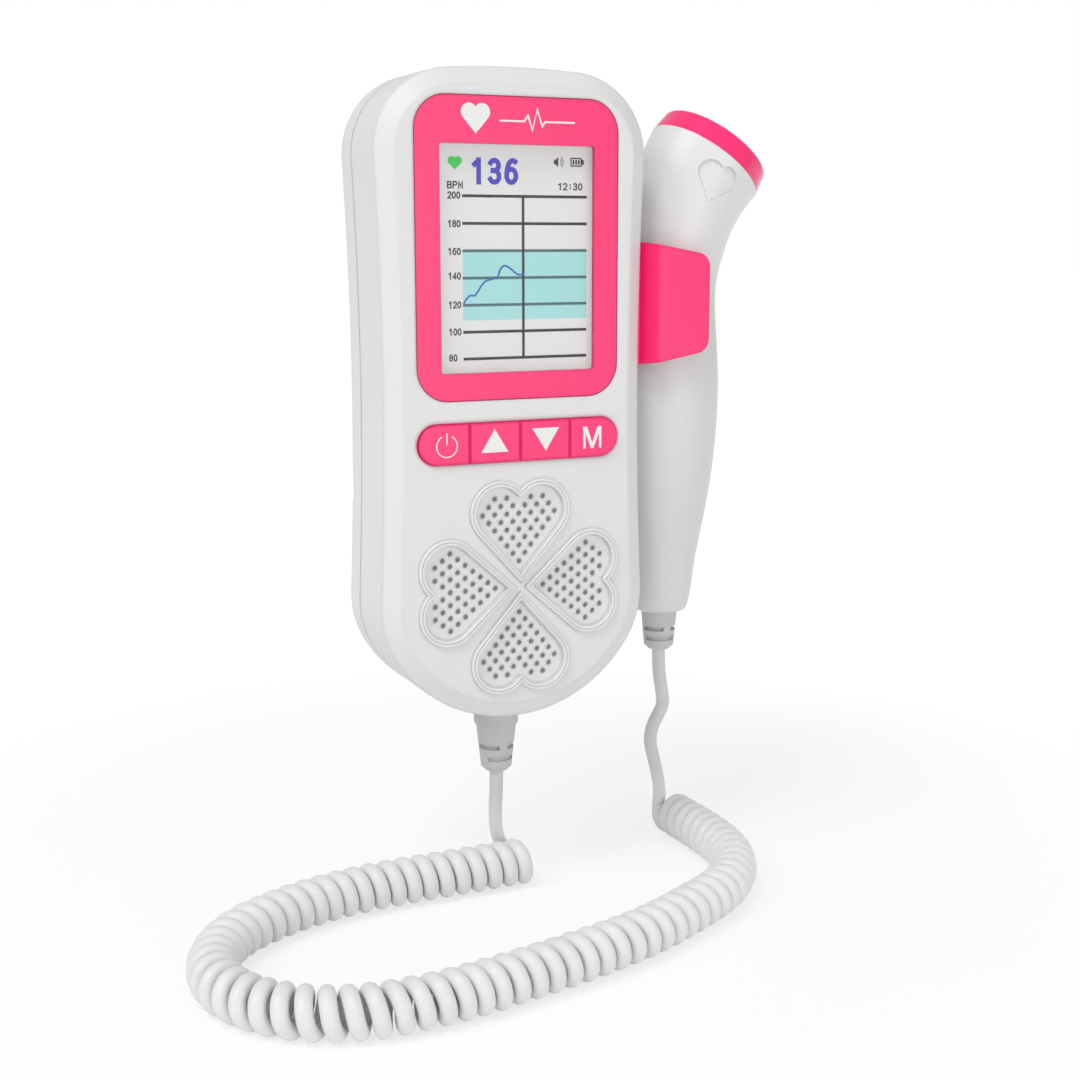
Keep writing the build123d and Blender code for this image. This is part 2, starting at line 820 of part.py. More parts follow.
with BuildPart() as main_board:
    with BuildSketch(front_plane(board_rear_y)):
        with Locations((0, (board_top + board_bottom) / 2)):
            RectangleRounded(2 * board_half_width, board_top - board_bottom, board_corner)
        with Locations(*post_places):
            Circle(board_screw_radius + fit_clearance, mode=Mode.SUBTRACT)
    extrude(amount=board_thickness)

with BuildPart() as board_screws:
    with BuildSketch(front_plane(board_rear_y)):
        with Locations(*post_places):
            Circle(board_screw_radius)
    extrude(amount=board_screw_length)
    with BuildSketch(front_plane(board_rear_y)):
        with Locations(*post_places):
            Circle(board_screw_head)
    extrude(amount=-1.2)

with BuildPart() as processor_chip:
    with BuildSketch(front_plane(board_rear_y)):
        with Locations((0, bezel_z)):
            Rectangle(processor_size, processor_size)
    extrude(amount=-processor_height)

amplifier_z = well_top + well_wall + amplifier_gap + amplifier_length / 2
with BuildPart() as amplifier_chip:
    with BuildSketch(front_plane(board_rear_y)):
        with Locations((amplifier_x, amplifier_z)):
            Rectangle(amplifier_width, amplifier_length)
    extrude(amount=-amplifier_height)

lower_drop, upper_drop = capacitor_drops
capacitor_places = (
    (capacitor_x, bezel_z - lower_drop),
    (capacitor_x, bezel_z - upper_drop),
    (-capacitor_x, bezel_z - lower_drop),
)
with BuildPart() as capacitors:
    with BuildSketch(front_plane(board_rear_y)):
        with Locations(*capacitor_places):
            Circle(capacitor_radius)
    extrude(amount=-capacitor_length)

# ---------------------------------------------------------------- headphone jack

jack_y = board_rear_y + jack_barrel_radius
jack_top = case_top - sagitta(crown_radius, abs(jack_x)) - 0.2
jack_block_top = case_top - wall - 1.4
with BuildPart() as headphone_jack:
    with BuildSketch(Plane.XY.offset(jack_block_top - jack_height)):
        with Locations((jack_x, jack_y)):
            Rectangle(jack_width, 2 * jack_barrel_radius)
    extrude(amount=jack_height)
    with BuildSketch(Plane.XY.offset(jack_block_top)):
        with Locations((jack_x, jack_y)):
            Circle(jack_barrel_radius)
    extrude(amount=jack_top - jack_block_top)
    with BuildSketch(Plane.XY.offset(jack_top)):
        with Locations((jack_x, jack_y)):
            Circle(jack_bore_radius)
    extrude(amount=-jack_bore_length, mode=Mode.SUBTRACT)

# ---------------------------------------------------------------- speaker

with BuildPart() as speaker_gasket:
    with BuildSketch(front_plane(speaker_front_y)):
        with Locations((0, clover_z)):
            Circle(speaker_radius - 0.4)
            Circle(cone_radius + moving_clearance, mode=Mode.SUBTRACT)
    extrude(amount=gasket_thickness)

speaker_plane = Plane(origin=(0, 0, clover_z), x_dir=(1, 0, 0), z_dir=(0, 0, 1))
speaker_axis = Axis((0, 0, clover_z), (0, 1, 0))
basket_inner = basket_radius - 5.0
with BuildPart() as speaker_frame:
    with BuildSketch(speaker_plane):
        with BuildLine():
            Polyline(
                (cone_radius + 0.4, speaker_front_y),
                (speaker_radius, speaker_front_y),
                (speaker_radius, speaker_front_y + flange_thickness),
                (cone_radius + 1.6, speaker_front_y + flange_thickness),
                (cone_radius + 1.6, speaker_front_y + 2.4),
                (basket_radius, basket_rear_y),
                (basket_inner, basket_rear_y),
                (basket_inner, basket_rear_y - 0.8),
                (basket_radius - 0.3, basket_rear_y - 0.8),
                (cone_radius + 0.4, speaker_front_y + 2.0),
                close=True,
            )
        make_face()
    revolve(axis=speaker_axis)

with BuildPart() as speaker_magnet:
    with BuildSketch(front_plane(basket_rear_y + magnet_thickness)):
        with Locations((0, clover_z)):
            Circle(magnet_radius)
    extrude(amount=magnet_thickness)

cone_front_y = speaker_front_y + cone_travel + 0.25
coil_front_y = cone_front_y + cone_fill * basket_depth
former_radius = basket_inner - 0.7
with BuildPart() as speaker_cone:
    with BuildSketch(speaker_plane):
        with BuildLine():
            Polyline(
                (0, coil_front_y - 1.2),
                (former_radius - 1.5, coil_front_y - 0.7),
                (former_radius, coil_front_y),
                (cone_radius - 2.5, cone_front_y + 0.2),
                (cone_radius - 1.2, cone_front_y),
                (cone_radius, cone_front_y + 0.3),
                (cone_radius, cone_front_y + 0.3 + cone_sheet),
                (cone_radius - 1.2, cone_front_y + cone_sheet),
                (cone_radius - 2.5, cone_front_y + 0.2 + cone_sheet),
                (former_radius + cone_sheet, coil_front_y + cone_sheet),
                (former_radius + cone_sheet, basket_rear_y - moving_clearance - cone_travel),
                (former_radius, basket_rear_y - moving_clearance - cone_travel),
                (former_radius, coil_front_y + cone_sheet),
                (former_radius - 1.5, coil_front_y - 0.7 + cone_sheet),
                (0, coil_front_y - 1.2 + cone_sheet),
                close=True,
            )
        make_face()
    revolve(axis=speaker_axis)

# ---------------------------------------------------------------- battery pieces

well_middle = (well_top + well_bottom) / 2
cell_low = well_bottom + plate_thickness + spring_height
# the left cell stands nub up, the right one nub down
cell_places = ((-cell_x, 1), (cell_x, -1))

with BuildPart() as battery_cells:
    for place_x, way in cell_places:
        cell_base = Plane(origin=(place_x, cell_y, well_middle + way * (cell_low - well_middle)), z_dir=(0, 0, way))
        with BuildSketch(cell_base):
            Circle(cell_radius)
        extrude(amount=cell_length - cell_nub)
        with BuildSketch(cell_base.offset(cell_length - cell_nub)):
            Circle(cell_nub_radius)
        extrude(amount=cell_nub)

with BuildPart() as battery_contacts:
    for place_x, way in cell_places:
        spring_wall = Plane(origin=(place_x, cell_y, well_middle + way * (well_bottom - well_middle)), z_dir=(0, 0, way))
        with BuildSketch(spring_wall):
            Rectangle(plate_size, plate_size)
        extrude(amount=plate_thickness)
        with BuildSketch(spring_wall.offset(well_height - plate_thickness)):
            Rectangle(plate_size, plate_size)
        extrude(amount=plate_thickness)
        with BuildSketch(spring_wall.offset(well_height - plus_contact)):
            Circle(cell_nub_radius)
        extrude(amount=plus_contact - plate_thickness)

with BuildPart() as battery_springs:
    for place_x, way in cell_places:
        spring_z = well_middle + way * (well_bottom + plate_thickness + spring_wire - well_middle)
        with BuildLine() as spring_line:
            Helix(
                pitch=(spring_height - 2 * spring_wire) / 4,
                height=spring_height - 2 * spring_wire,
                radius=spring_radius,
                center=(place_x, cell_y, spring_z),
                direction=(0, 0, way),
            )
        with BuildSketch(Plane(origin=spring_line.line @ 0, z_dir=spring_line.line % 0)):
            Circle(spring_wire)
        sweep()

# ---------------------------------------------------------------- strain reliefs

slot_rows = ((0.45, 3, 90.0), (0.70, 2, 130.0))  # share of the body's length from the top, count, arc
unit_slot_turns = (168.0, 218.0)  # where each row's first slot starts
probe_slot_turns = (168.0, 180.0)


def relief_slots(x, y, top_z, length, radius, turns):
    """Cutters for the staggered rows of slots round a relief's body."""
    with BuildPart() as cutters:
        for (share, count, arc), turn in zip(slot_rows, turns):
            for index in range(count):
                with BuildSketch(upright_plane(x, y, turn + 360 / count * index)):
                    with Locations((radius, top_z - share * length)):
                        Rectangle(2 * slot_depth, slot_height)
                revolve(axis=upright_axis(x, y), revolution_arc=arc)
    return cutters.part


relief_axis = upright_axis(0, relief_y)
relief_body_top = -case_top - collar_length
relief_inside_z = -case_top + wall - 0.3
with BuildPart() as unit_strain_relief:
    with BuildSketch(upright_plane(0, relief_y)) as relief_profile:
        with BuildLine():
            Polyline(
                (0, relief_inside_z + relief_flange),
                (relief_flange_radius, relief_inside_z + relief_flange),
                (relief_flange_radius, relief_inside_z),
                (relief_neck_radius, relief_inside_z),
                (relief_neck_radius, -case_top),
                (collar_radius, -case_top),
                (collar_radius, relief_body_top + 0.4),
                (collar_radius - 0.4, relief_body_top),
                (relief_top_radius, relief_body_top),
                (relief_end_radius, relief_end_z + relief_round),
                (relief_end_radius - relief_round, relief_end_z),
                (0, relief_end_z),
                close=True,
            )
        make_face()
    revolve(axis=relief_axis)
    add(
        relief_slots(
            0,
            relief_y,
            relief_body_top,
            relief_body_top - relief_end_z,
            (relief_top_radius + relief_end_radius) / 2,
            unit_slot_turns,
        ),
        mode=Mode.SUBTRACT,
    )

probe_relief_end_z = probe_foot_z - probe_relief_length
probe_relief_axis = upright_axis(probe_x, probe_y)
with BuildPart() as probe_strain_relief:
    with BuildSketch(upright_plane(probe_x, probe_y)):
        with BuildLine():
            Polyline(
                (0, probe_foot_z + probe_wall + relief_flange + 0.1),
                (probe_flange_radius, probe_foot_z + probe_wall + relief_flange + 0.1),
                (probe_flange_radius, probe_foot_z + probe_wall + 0.1),
                (relief_neck_radius, probe_foot_z + probe_wall + 0.1),
                (relief_neck_radius, probe_foot_z),
                (probe_relief_radius, probe_foot_z),
                (relief_end_radius, probe_relief_end_z + relief_round),
                (relief_end_radius - relief_round, probe_relief_end_z),
                (0, probe_relief_end_z),
                close=True,
            )
        make_face()
    revolve(axis=probe_relief_axis)
    add(
        relief_slots(
            probe_x,
            probe_y,
            probe_foot_z,
            probe_relief_length,
            (probe_relief_radius + relief_end_radius) / 2,
            probe_slot_turns,
        ),
        mode=Mode.SUBTRACT,
    )

# ---------------------------------------------------------------- probe

bend_tangent = head_bend_radius * math.tan(math.radians(head_tilt) / 2)
bend_start = bend_corner_z - bend_tangent - probe_foot_z
bend_length = head_bend_radius * math.radians(head_tilt)


def probe_plane(distance):
    """Plane across the probe at a distance along its bent axis, local x towards the bend's outside."""
    if distance <= bend_start:
        x, z, tilt = 0.0, distance, 0.0
    else:
        tilt = min((distance - bend_start) / head_bend_radius, math.radians(head_tilt))
        beyond = max(distance - bend_start - bend_length, 0.0)
        x = head_bend_radius * (1 - math.cos(tilt)) + beyond * math.sin(tilt)
        z = bend_start + head_bend_radius * math.sin(tilt) + beyond * math.cos(tilt)
    return Plane(
        origin=(probe_x + x, probe_y, probe_foot_z + z),
        x_dir=(math.cos(tilt), 0, -math.sin(tilt)),
        z_dir=(math.sin(tilt), 0, math.cos(tilt)),
    )


def probe_radius(z):
    """Radius of the straight handle at a height."""
    distance = z - probe_foot_z
    for (low, low_radius), (high, high_radius) in zip(probe_profile, probe_profile[1:]):
        if low <= distance <= high:
            return low_radius + (high_radius - low_radius) * (distance - low) / (high - low)
    raise ValueError("height outside the handle")


head_distance, head_radius = probe_profile[-1]
# one more section past the head's end, so that the end can be cut flat
probe_sections = (*probe_profile, (head_distance + 2.0, head_radius + 0.2))
head_plane = probe_plane(head_distance)
head_axis = Axis(head_plane.origin, head_plane.z_dir)
head_section = Plane(origin=head_plane.origin, x_dir=head_plane.x_dir, z_dir=(0, -1, 0))

with BuildPart() as probe_skin:
    for distance, radius in probe_sections:
        with BuildSketch(probe_plane(distance)):
            Circle(radius)
    loft()
    split(bisect_by=head_plane, keep=Keep.BOTTOM)
    fillet(probe_skin.edges().sort_by(Axis.Z)[0], radius=probe_foot_round)

with BuildPart() as probe_hollow:
    with BuildSketch(probe_plane(probe_wall)):
        Circle(probe_profile[0][1] - probe_wall)
    for distance, radius in probe_sections[1:]:
        with BuildSketch(probe_plane(distance)):
            Circle(radius - probe_wall)
    loft()

# the heart pressed into the head: its floor is a skin below the outer one, deeper towards the lobes
badge_base = probe_plane(badge_distance)
badge_scale = badge_length / (lobe_out + math.sqrt(lobe_radius**2 - lobe_side**2) - heart_tip)
with BuildPart() as badge_floor:
    for distance, radius in probe_sections:
        with BuildSketch(probe_plane(distance)):
            Circle(radius - badge_depth - badge_slope * max(0, distance - badge_distance))
    loft()

with BuildPart() as head_badge:
    with BuildSketch(Plane(origin=badge_base.origin, x_dir=badge_base.x_dir, z_dir=(0, -1, 0))) as badge_sketch:
        with Locations((badge_side / badge_scale, -heart_tip)):
            add(heart.sketch)
        scale(by=badge_scale, mode=Mode.REPLACE)
    extrude(amount=head_radius + 1.0)
    add(badge_floor.part, mode=Mode.SUBTRACT)

probe_back = front_plane(probe_y)
board_half = probe_board_thickness / 2
probe_post_places = (
    (probe_x, probe_board_z + probe_board_height * 0.3),
    (probe_x, probe_board_z - probe_board_height * 0.3),
)

with BuildPart() as probe_front_shell:
    add(probe_skin.part)
    add(probe_hollow.part, mode=Mode.SUBTRACT)
    split(bisect_by=probe_back, keep=Keep.TOP)
    add(head_badge.part, mode=Mode.SUBTRACT)
    for screw_z in probe_screw_z:
        with BuildSketch(probe_back):
            with Locations((probe_x, screw_z)):
                Circle(probe_boss_radius)
        extrude(amount=probe_radius(screw_z) - probe_wall / 2)
        with BuildSketch(probe_back):
            with Locations((probe_x, screw_z)):
                Circle(probe_screw_radius + screw_fit)
        extrude(amount=probe_screw_length - probe_screw_seat + fit_clearance, mode=Mode.SUBTRACT)
    for post_x, post_z in probe_post_places:
        with BuildSketch(probe_back.offset(board_half)):
            with Locations((post_x, post_z)):
                Circle(post_radius)
        extrude(amount=probe_radius(post_z) - probe_wall / 2 - board_half)
    with BuildSketch(Plane.XY.offset(probe_foot_z - 1)):
        with Locations((probe_x, probe_y)):
            Circle(relief_neck_radius + lip_clearance)
    extrude(amount=probe_wall + 1.1, mode=Mode.SUBTRACT)

with BuildPart() as probe_rear_shell:
    add(probe_skin.part)
    add(probe_hollow.part, mode=Mode.SUBTRACT)
    split(bisect_by=probe_back, keep=Keep.BOTTOM)
    for screw_z in probe_screw_z:
        with BuildSketch(probe_back):
            with Locations((probe_x, screw_z)):
                Circle(probe_boss_radius)
        extrude(amount=-probe_radius(screw_z) + probe_wall / 2)
        with BuildSketch(probe_back):
            with Locations((probe_x, screw_z)):
                Circle(probe_screw_radius + fit_clearance)
        extrude(amount=-probe_screw_seat, mode=Mode.SUBTRACT)
        with BuildSketch(probe_back.offset(-probe_screw_seat)):
            with Locations((probe_x, screw_z)):
                Circle(probe_screw_head + fit_clearance)
        extrude(amount=-probe_belly_radius, mode=Mode.SUBTRACT)
    for post_x, post_z in probe_post_places:
        with BuildSketch(probe_back.offset(-board_half)):
            with Locations((post_x, post_z)):
                Circle(post_radius)
        extrude(amount=-probe_radius(post_z) + probe_wall / 2 + board_half)
    with BuildSketch(Plane.XY.offset(probe_foot_z - 1)):
        with Locations((probe_x, probe_y)):
            Circle(relief_neck_radius + lip_clearance)
    extrude(amount=probe_wall + 1.1, mode=Mode.SUBTRACT)

with BuildPart() as probe_screws:
    for screw_z in probe_screw_z:
        with BuildSketch(probe_back.offset(-probe_screw_seat)):
            with Locations((probe_x, screw_z)):
                Circle(probe_screw_radius)
        extrude(amount=probe_screw_length)
        with BuildSketch(probe_back.offset(-probe_screw_seat)):
            with Locations((probe_x, screw_z)):
                Circle(probe_screw_head)
        extrude(amount=-probe_screw_head_height)

with BuildPart() as probe_board:
    with BuildSketch(probe_back.offset(-board_half)):
        with Locations((probe_x, probe_board_z)):
            Rectangle(probe_board_width, probe_board_height)
    extrude(amount=probe_board_thickness)

with BuildPart() as probe_ring:
    with BuildSketch(head_section) as ring_profile:
        with BuildLine():
            Polyline(
                (ring_inner_radius, -ring_spigot),
                (ring_spigot_radius, -ring_spigot),
                (ring_spigot_radius, 0),
                (head_radius, 0),
                (ring_top_radius, ring_height),
                (ring_inner_radius, ring_height),
                close=True,
            )
        make_face()
        fillet(ring_profile.vertices().group_by(Axis.Y)[-1].sort_by(Axis.X)[-1], radius=ring_edge)
    revolve(axis=head_axis)

face_low = ring_height - face_sink - face_thickness
seat_radius = ring_inner_radius - lip_clearance
with BuildPart() as probe_face:
    with BuildSketch(head_plane.offset(face_low)):
        Circle(seat_radius)
    extrude(amount=face_thickness)

with BuildPart() as piezo_discs:
    with BuildSketch(head_plane.offset(face_low - piezo_thickness)):
        Circle(piezo_radius)
        Rectangle(piezo_gap, 2 * piezo_radius + 1, mode=Mode.SUBTRACT)
    extrude(amount=piezo_thickness)

with BuildPart() as backing_block:
    with BuildSketch(head_plane.offset(face_low - piezo_thickness)):
        Circle(seat_radius)
    extrude(amount=-backing_thickness)

# ---------------------------------------------------------------- inner cable

plug_x = -board_half_width + 3.4
plug_z = board_bottom + 12.0
plug_half_height = 2.5
with BuildPart() as cable_plug:
    with BuildSketch(front_plane(board_rear_y)):
        with Locations((plug_x, plug_z)):
            Rectangle(5.4, 2 * plug_half_height)
    extrude(amount=-4.0)

lead_x = -well_half_width - well_wall - inner_lead_radius - 0.8
lead_y = relief_y - 1.2
lead_route = (
    (0, relief_y, relief_inside_z + relief_flange),
    (0, relief_y, relief_inside_z + relief_flange + 3.6),
    (-9.0, lead_y, well_bottom - 5.6),
    (lead_x - 0.8, lead_y, well_bottom - 3.6),
    (lead_x, lead_y + 0.2, well_bottom + 9),
    (lead_x, lead_y - 0.2, well_bottom + 24),
    (lead_x, lead_y, plug_z - plug_half_height - 9),
    (plug_x, board_rear_y + 2, plug_z - plug_half_height - 3),
    (plug_x, board_rear_y + 2, plug_z - plug_half_height),
)

# ---------------------------------------------------------------- cord

unit_tail_route = (
    (0, relief_y, relief_end_z),
    (0, relief_y, relief_end_z - 5.2),
    (-0.1, relief_y - 0.2, relief_end_z - 10.2),
    (0.45, relief_y - 0.6, relief_end_z - 14.9),
    (1.4, relief_y - 1.2, relief_end_z - 19.5),
    (2.4, relief_y - 1.6, relief_end_z - 23.4),
)
curl_path = (
    (6.0, -19.3),
    (-10.0, -19.6),
    (-27.0, -21.6),
    (-44.0, -24.3),
    (-60.0, -28.0),
    (-74.0, -34.5),
    (-83.0, -46.0),
    (-83.0, -60.0),
    (-74.5, -72.5),
    (-60.0, -78.8),
    (-42.0, -80.0),
    (-24.0, -79.0),
    (-6.0, -74.8),
    (12.0, -68.2),
    (28.0, -60.0),
    (43.0, -52.5),
    (53.5, -39.0),
    (56.6, -22.0),
    (55.4, -5.0),
)
curl_route = tuple((x, y, coil_z) for x, y in curl_path)
probe_tail_route = (
    (probe_x, probe_y, probe_relief_end_z - moving_clearance),
    (probe_x, probe_y, -72.5),
    (48.8, -10.5, -78.2),
    (48.6, -9.5, -84.2),
    (46.7, -8.6, -89.5),
    (46.9, -7.8, -94.6),
    (48.6, -7.0, -99.6),
    (50.2, -6.2, -104.8),
    (51.2, -5.5, -110.0),
    (51.5, -5.0, -114.6),
)


def route_radii(route):
    """Radius at each inner point: 0.45 of the shorter run, over the tangent of half the turn."""
    radii = []
    for before, point, after in zip(route, route[1:], route[2:]):
        run_in = Vector(*point) - Vector(*before)
        run_out = Vector(*after) - Vector(*point)
        half_turn = math.radians(run_in.get_angle(run_out)) / 2
        radii.append(0.45 * min(run_in.length, run_out.length) / math.tan(half_turn))
    return radii


def tube(route, radius):
    """Tube along straight runs joined by tangent arcs."""
    with BuildPart() as piece:
        with BuildLine() as line:
            FilletPolyline(*route, radius=route_radii(route))
        with BuildSketch(Plane(origin=line.line @ 0, z_dir=line.line % 0)):
            Circle(radius)
        sweep()
    length = sum(edge.length for edge in line.edges())
    share = piece.part.volume / (math.pi * radius**2 * length)
    radii = [round(bend, 1) for bend in route_radii(route)]
    print(f"tube of {length:.1f} mm, volume share {share:.4f}, bend radii {radii}")
    return piece


inner_cable = tube(lead_route, inner_lead_radius)
cord_unit_tail = tube(unit_tail_route, cord_diameter / 2)
cord_curl = tube(curl_route, coil_radius)
cord_probe_tail = tube(probe_tail_route, cord_diameter / 2)

# ---------------------------------------------------------------- export

pieces = {
    "front_shell": front_shell,
    "rear_shell": rear_shell,
    "battery_door": battery_door,
    "case_screws": case_screws,
    "display_bezel": display_bezel,
    "display_window": display_window,
    "display_module": display_module,
    "display_holder": display_holder,
    "display_ribbon": display_ribbon,
    "display_socket": display_socket,
    "tact_switches": tact_switches,
    "main_board": main_board,
    "board_screws": board_screws,
    "processor_chip": processor_chip,
    "amplifier_chip": amplifier_chip,
    "capacitors": capacitors,
    "headphone_jack": headphone_jack,
    "speaker_gasket": speaker_gasket,
    "speaker_frame": speaker_frame,
    "speaker_cone": speaker_cone,
    "speaker_magnet": speaker_magnet,
    "battery_cells": battery_cells,
    "battery_contacts": battery_contacts,
    "battery_springs": battery_springs,
    "probe_clip": probe_clip,
    "unit_strain_relief": unit_strain_relief,
    "cable_plug": cable_plug,
    "inner_cable": inner_cable,
    "cord_unit_tail": cord_unit_tail,
    "cord_curl": cord_curl,
    "cord_probe_tail": cord_probe_tail,
    "probe_strain_relief": probe_strain_relief,
    "probe_front_shell": probe_front_shell,
    "probe_rear_shell": probe_rear_shell,
    "probe_screws": probe_screws,
    "probe_board": probe_board,
    "probe_ring": probe_ring,
    "probe_face": probe_face,
    "piezo_discs": piezo_discs,
    "backing_block": backing_block,
    **buttons,
    **plungers,
}
for label, piece in pieces.items():
    piece.part.label = label
    export_step(piece.part, f"parts/{label}.step")
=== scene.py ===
import logging
import math
from collections.abc import Iterable, Mapping, Sequence
from dataclasses import dataclass, field
from enum import Enum

import bmesh
import bpy
from bpy.types import ID, ColorRamp, Material, NodeSocket, Object, World
from mathutils import Matrix, Vector

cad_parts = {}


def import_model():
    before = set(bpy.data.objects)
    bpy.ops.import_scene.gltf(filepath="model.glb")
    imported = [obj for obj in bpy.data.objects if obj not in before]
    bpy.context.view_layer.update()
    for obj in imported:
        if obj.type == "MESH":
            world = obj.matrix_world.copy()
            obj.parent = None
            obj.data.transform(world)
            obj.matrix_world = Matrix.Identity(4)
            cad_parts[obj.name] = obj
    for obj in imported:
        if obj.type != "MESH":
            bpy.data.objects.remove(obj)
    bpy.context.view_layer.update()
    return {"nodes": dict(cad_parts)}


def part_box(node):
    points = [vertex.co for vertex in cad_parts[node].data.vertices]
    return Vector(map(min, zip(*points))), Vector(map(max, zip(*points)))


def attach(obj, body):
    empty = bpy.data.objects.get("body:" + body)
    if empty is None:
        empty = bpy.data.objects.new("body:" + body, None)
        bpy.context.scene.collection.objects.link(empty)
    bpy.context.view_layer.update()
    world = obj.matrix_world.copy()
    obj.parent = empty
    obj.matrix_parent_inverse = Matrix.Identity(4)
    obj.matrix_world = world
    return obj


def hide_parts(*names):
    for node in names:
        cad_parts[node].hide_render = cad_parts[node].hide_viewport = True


log = logging.getLogger("doppler_monitor")

Tint = tuple[float, float, float]
Place = tuple[float, float, float]
Spot = tuple[float, float]
Outline = list[Spot]
Value = "Wire | float"
Colour = "Wire | Tint"

MM = 0.001
FULL_TURN = 2 * math.pi
BLACK: Tint = (0.0, 0.0, 0.0)
WHITE: Tint = (1.0, 1.0, 1.0)
EDGE_SAMPLES = 4
LUMP_SCALE = 0.6


def tone(red: int, green: int, blue: int) -> Tint:
    """Turns display values of 0 to 255 into a linear tint."""
    return tuple(
        part / 12.92 / 255 if part < 11 else ((part / 255 + 0.055) / 1.055) ** 2.4 for part in (red, green, blue)
    )


# Shader graph.


class Wire:
    """One output of a shader node. Arithmetic on it adds Math nodes."""

    def __init__(self, graph: "Graph", socket: NodeSocket | None) -> None:
        """Wraps a socket of the given graph."""
        self.graph = graph
        self.socket = socket

    def _math(self, operation: str, *values: Value) -> "Wire":
        """Adds one Math node."""
        return self.graph.node("ShaderNodeMath", {"operation": operation}, dict(enumerate(values)))

    def _vector(self, operation: str, *values: "Wire | Place", output: str | int = 0) -> "Wire":
        """Adds one Vector Math node."""
        return self.graph.node("ShaderNodeVectorMath", {"operation": operation}, dict(enumerate(values)), output)

    def __add__(self, other: Value) -> "Wire":
        """Self plus other."""
        return self._math("ADD", self, other)

    def __radd__(self, other: Value) -> "Wire":
        """Other plus self."""
        return self._math("ADD", other, self)

    def __sub__(self, other: Value) -> "Wire":
        """Self minus other."""
        return self._math("SUBTRACT", self, other)

    def __rsub__(self, other: Value) -> "Wire":
        """Other minus self."""
        return self._math("SUBTRACT", other, self)

    def __mul__(self, other: Value) -> "Wire":
        """Self times other."""
        return self._math("MULTIPLY", self, other)

    def __rmul__(self, other: Value) -> "Wire":
        """Other times self."""
        return self._math("MULTIPLY", other, self)

    def __gt__(self, other: Value) -> "Wire":
        """1 where self is above other."""
        return self._math("GREATER_THAN", self, other)

    def __lt__(self, other: Value) -> "Wire":
        """1 where self is below other."""
        return self._math("LESS_THAN", self, other)

    def __abs__(self) -> "Wire":
        """Self without its sign."""
        return self._math("ABSOLUTE", self)

    def __mod__(self, other: float) -> "Wire":
        """Self wrapped into 0 to other."""
        return self._math("WRAP", self, other, 0.0)

    def either(self, other: Value) -> "Wire":
        """The larger of two masks."""
        return self._math("MAXIMUM", self, other)

    def pick(self, chosen: Value, other: Value) -> "Wire":
        """The first value where self is 1, and the other where it is 0."""
        return self * chosen + (1 - self) * other

    def sine(self) -> "Wire":
        """Sine of self in radians."""
        return self._math("SINE", self)

    def ramp(self, low: float, high: float) -> "Wire":
        """Rises smoothly from 0 at low to 1 at high."""
        settings = {"interpolation_type": "SMOOTHSTEP", "clamp": True}
        return self.graph.node("ShaderNodeMapRange", settings, {"Value": self, "From Min": low, "From Max": high})

    def mix(self, first: Colour, second: Colour) -> "Wire":
        """Blends two colours, with self as the second one's share."""
        return self.graph.mix(self, first, second)

    def axis(self, letter: str) -> "Wire":
        """One coordinate of a point."""
        return self.graph.node("ShaderNodeSeparateXYZ", {}, {0: self}, letter)

    def stretch(self, factors: Place) -> "Wire":
        """A point with each coordinate multiplied."""
        return self._vector("MULTIPLY", self, factors)

    def past(self, start: Place) -> "Wire":
        """A point measured from another."""
        return self._vector("SUBTRACT", self, start)

    def reach(self) -> "Wire":
        """A point's distance from the origin."""
        return self._vector("LENGTH", self, output="Value")

    def noise(self, size: float, detail: float = 2.0) -> "Wire":
        """Noise of 0 to 1 over points, with lumps of about the given size in metres."""
        inputs = {"Vector": self, "Scale": LUMP_SCALE / size, "Detail": detail}
        return self.graph.node("ShaderNodeTexNoise", {"noise_dimensions": "3D"}, inputs)

    def cells(self, size: float) -> "Wire":
        """Distance from each cell's middle over points, with cells of about the given size."""
        inputs = {"Vector": self, "Scale": 1.0 / size}
        return self.graph.node("ShaderNodeTexVoronoi", {"feature": "F1"}, inputs, "Distance")


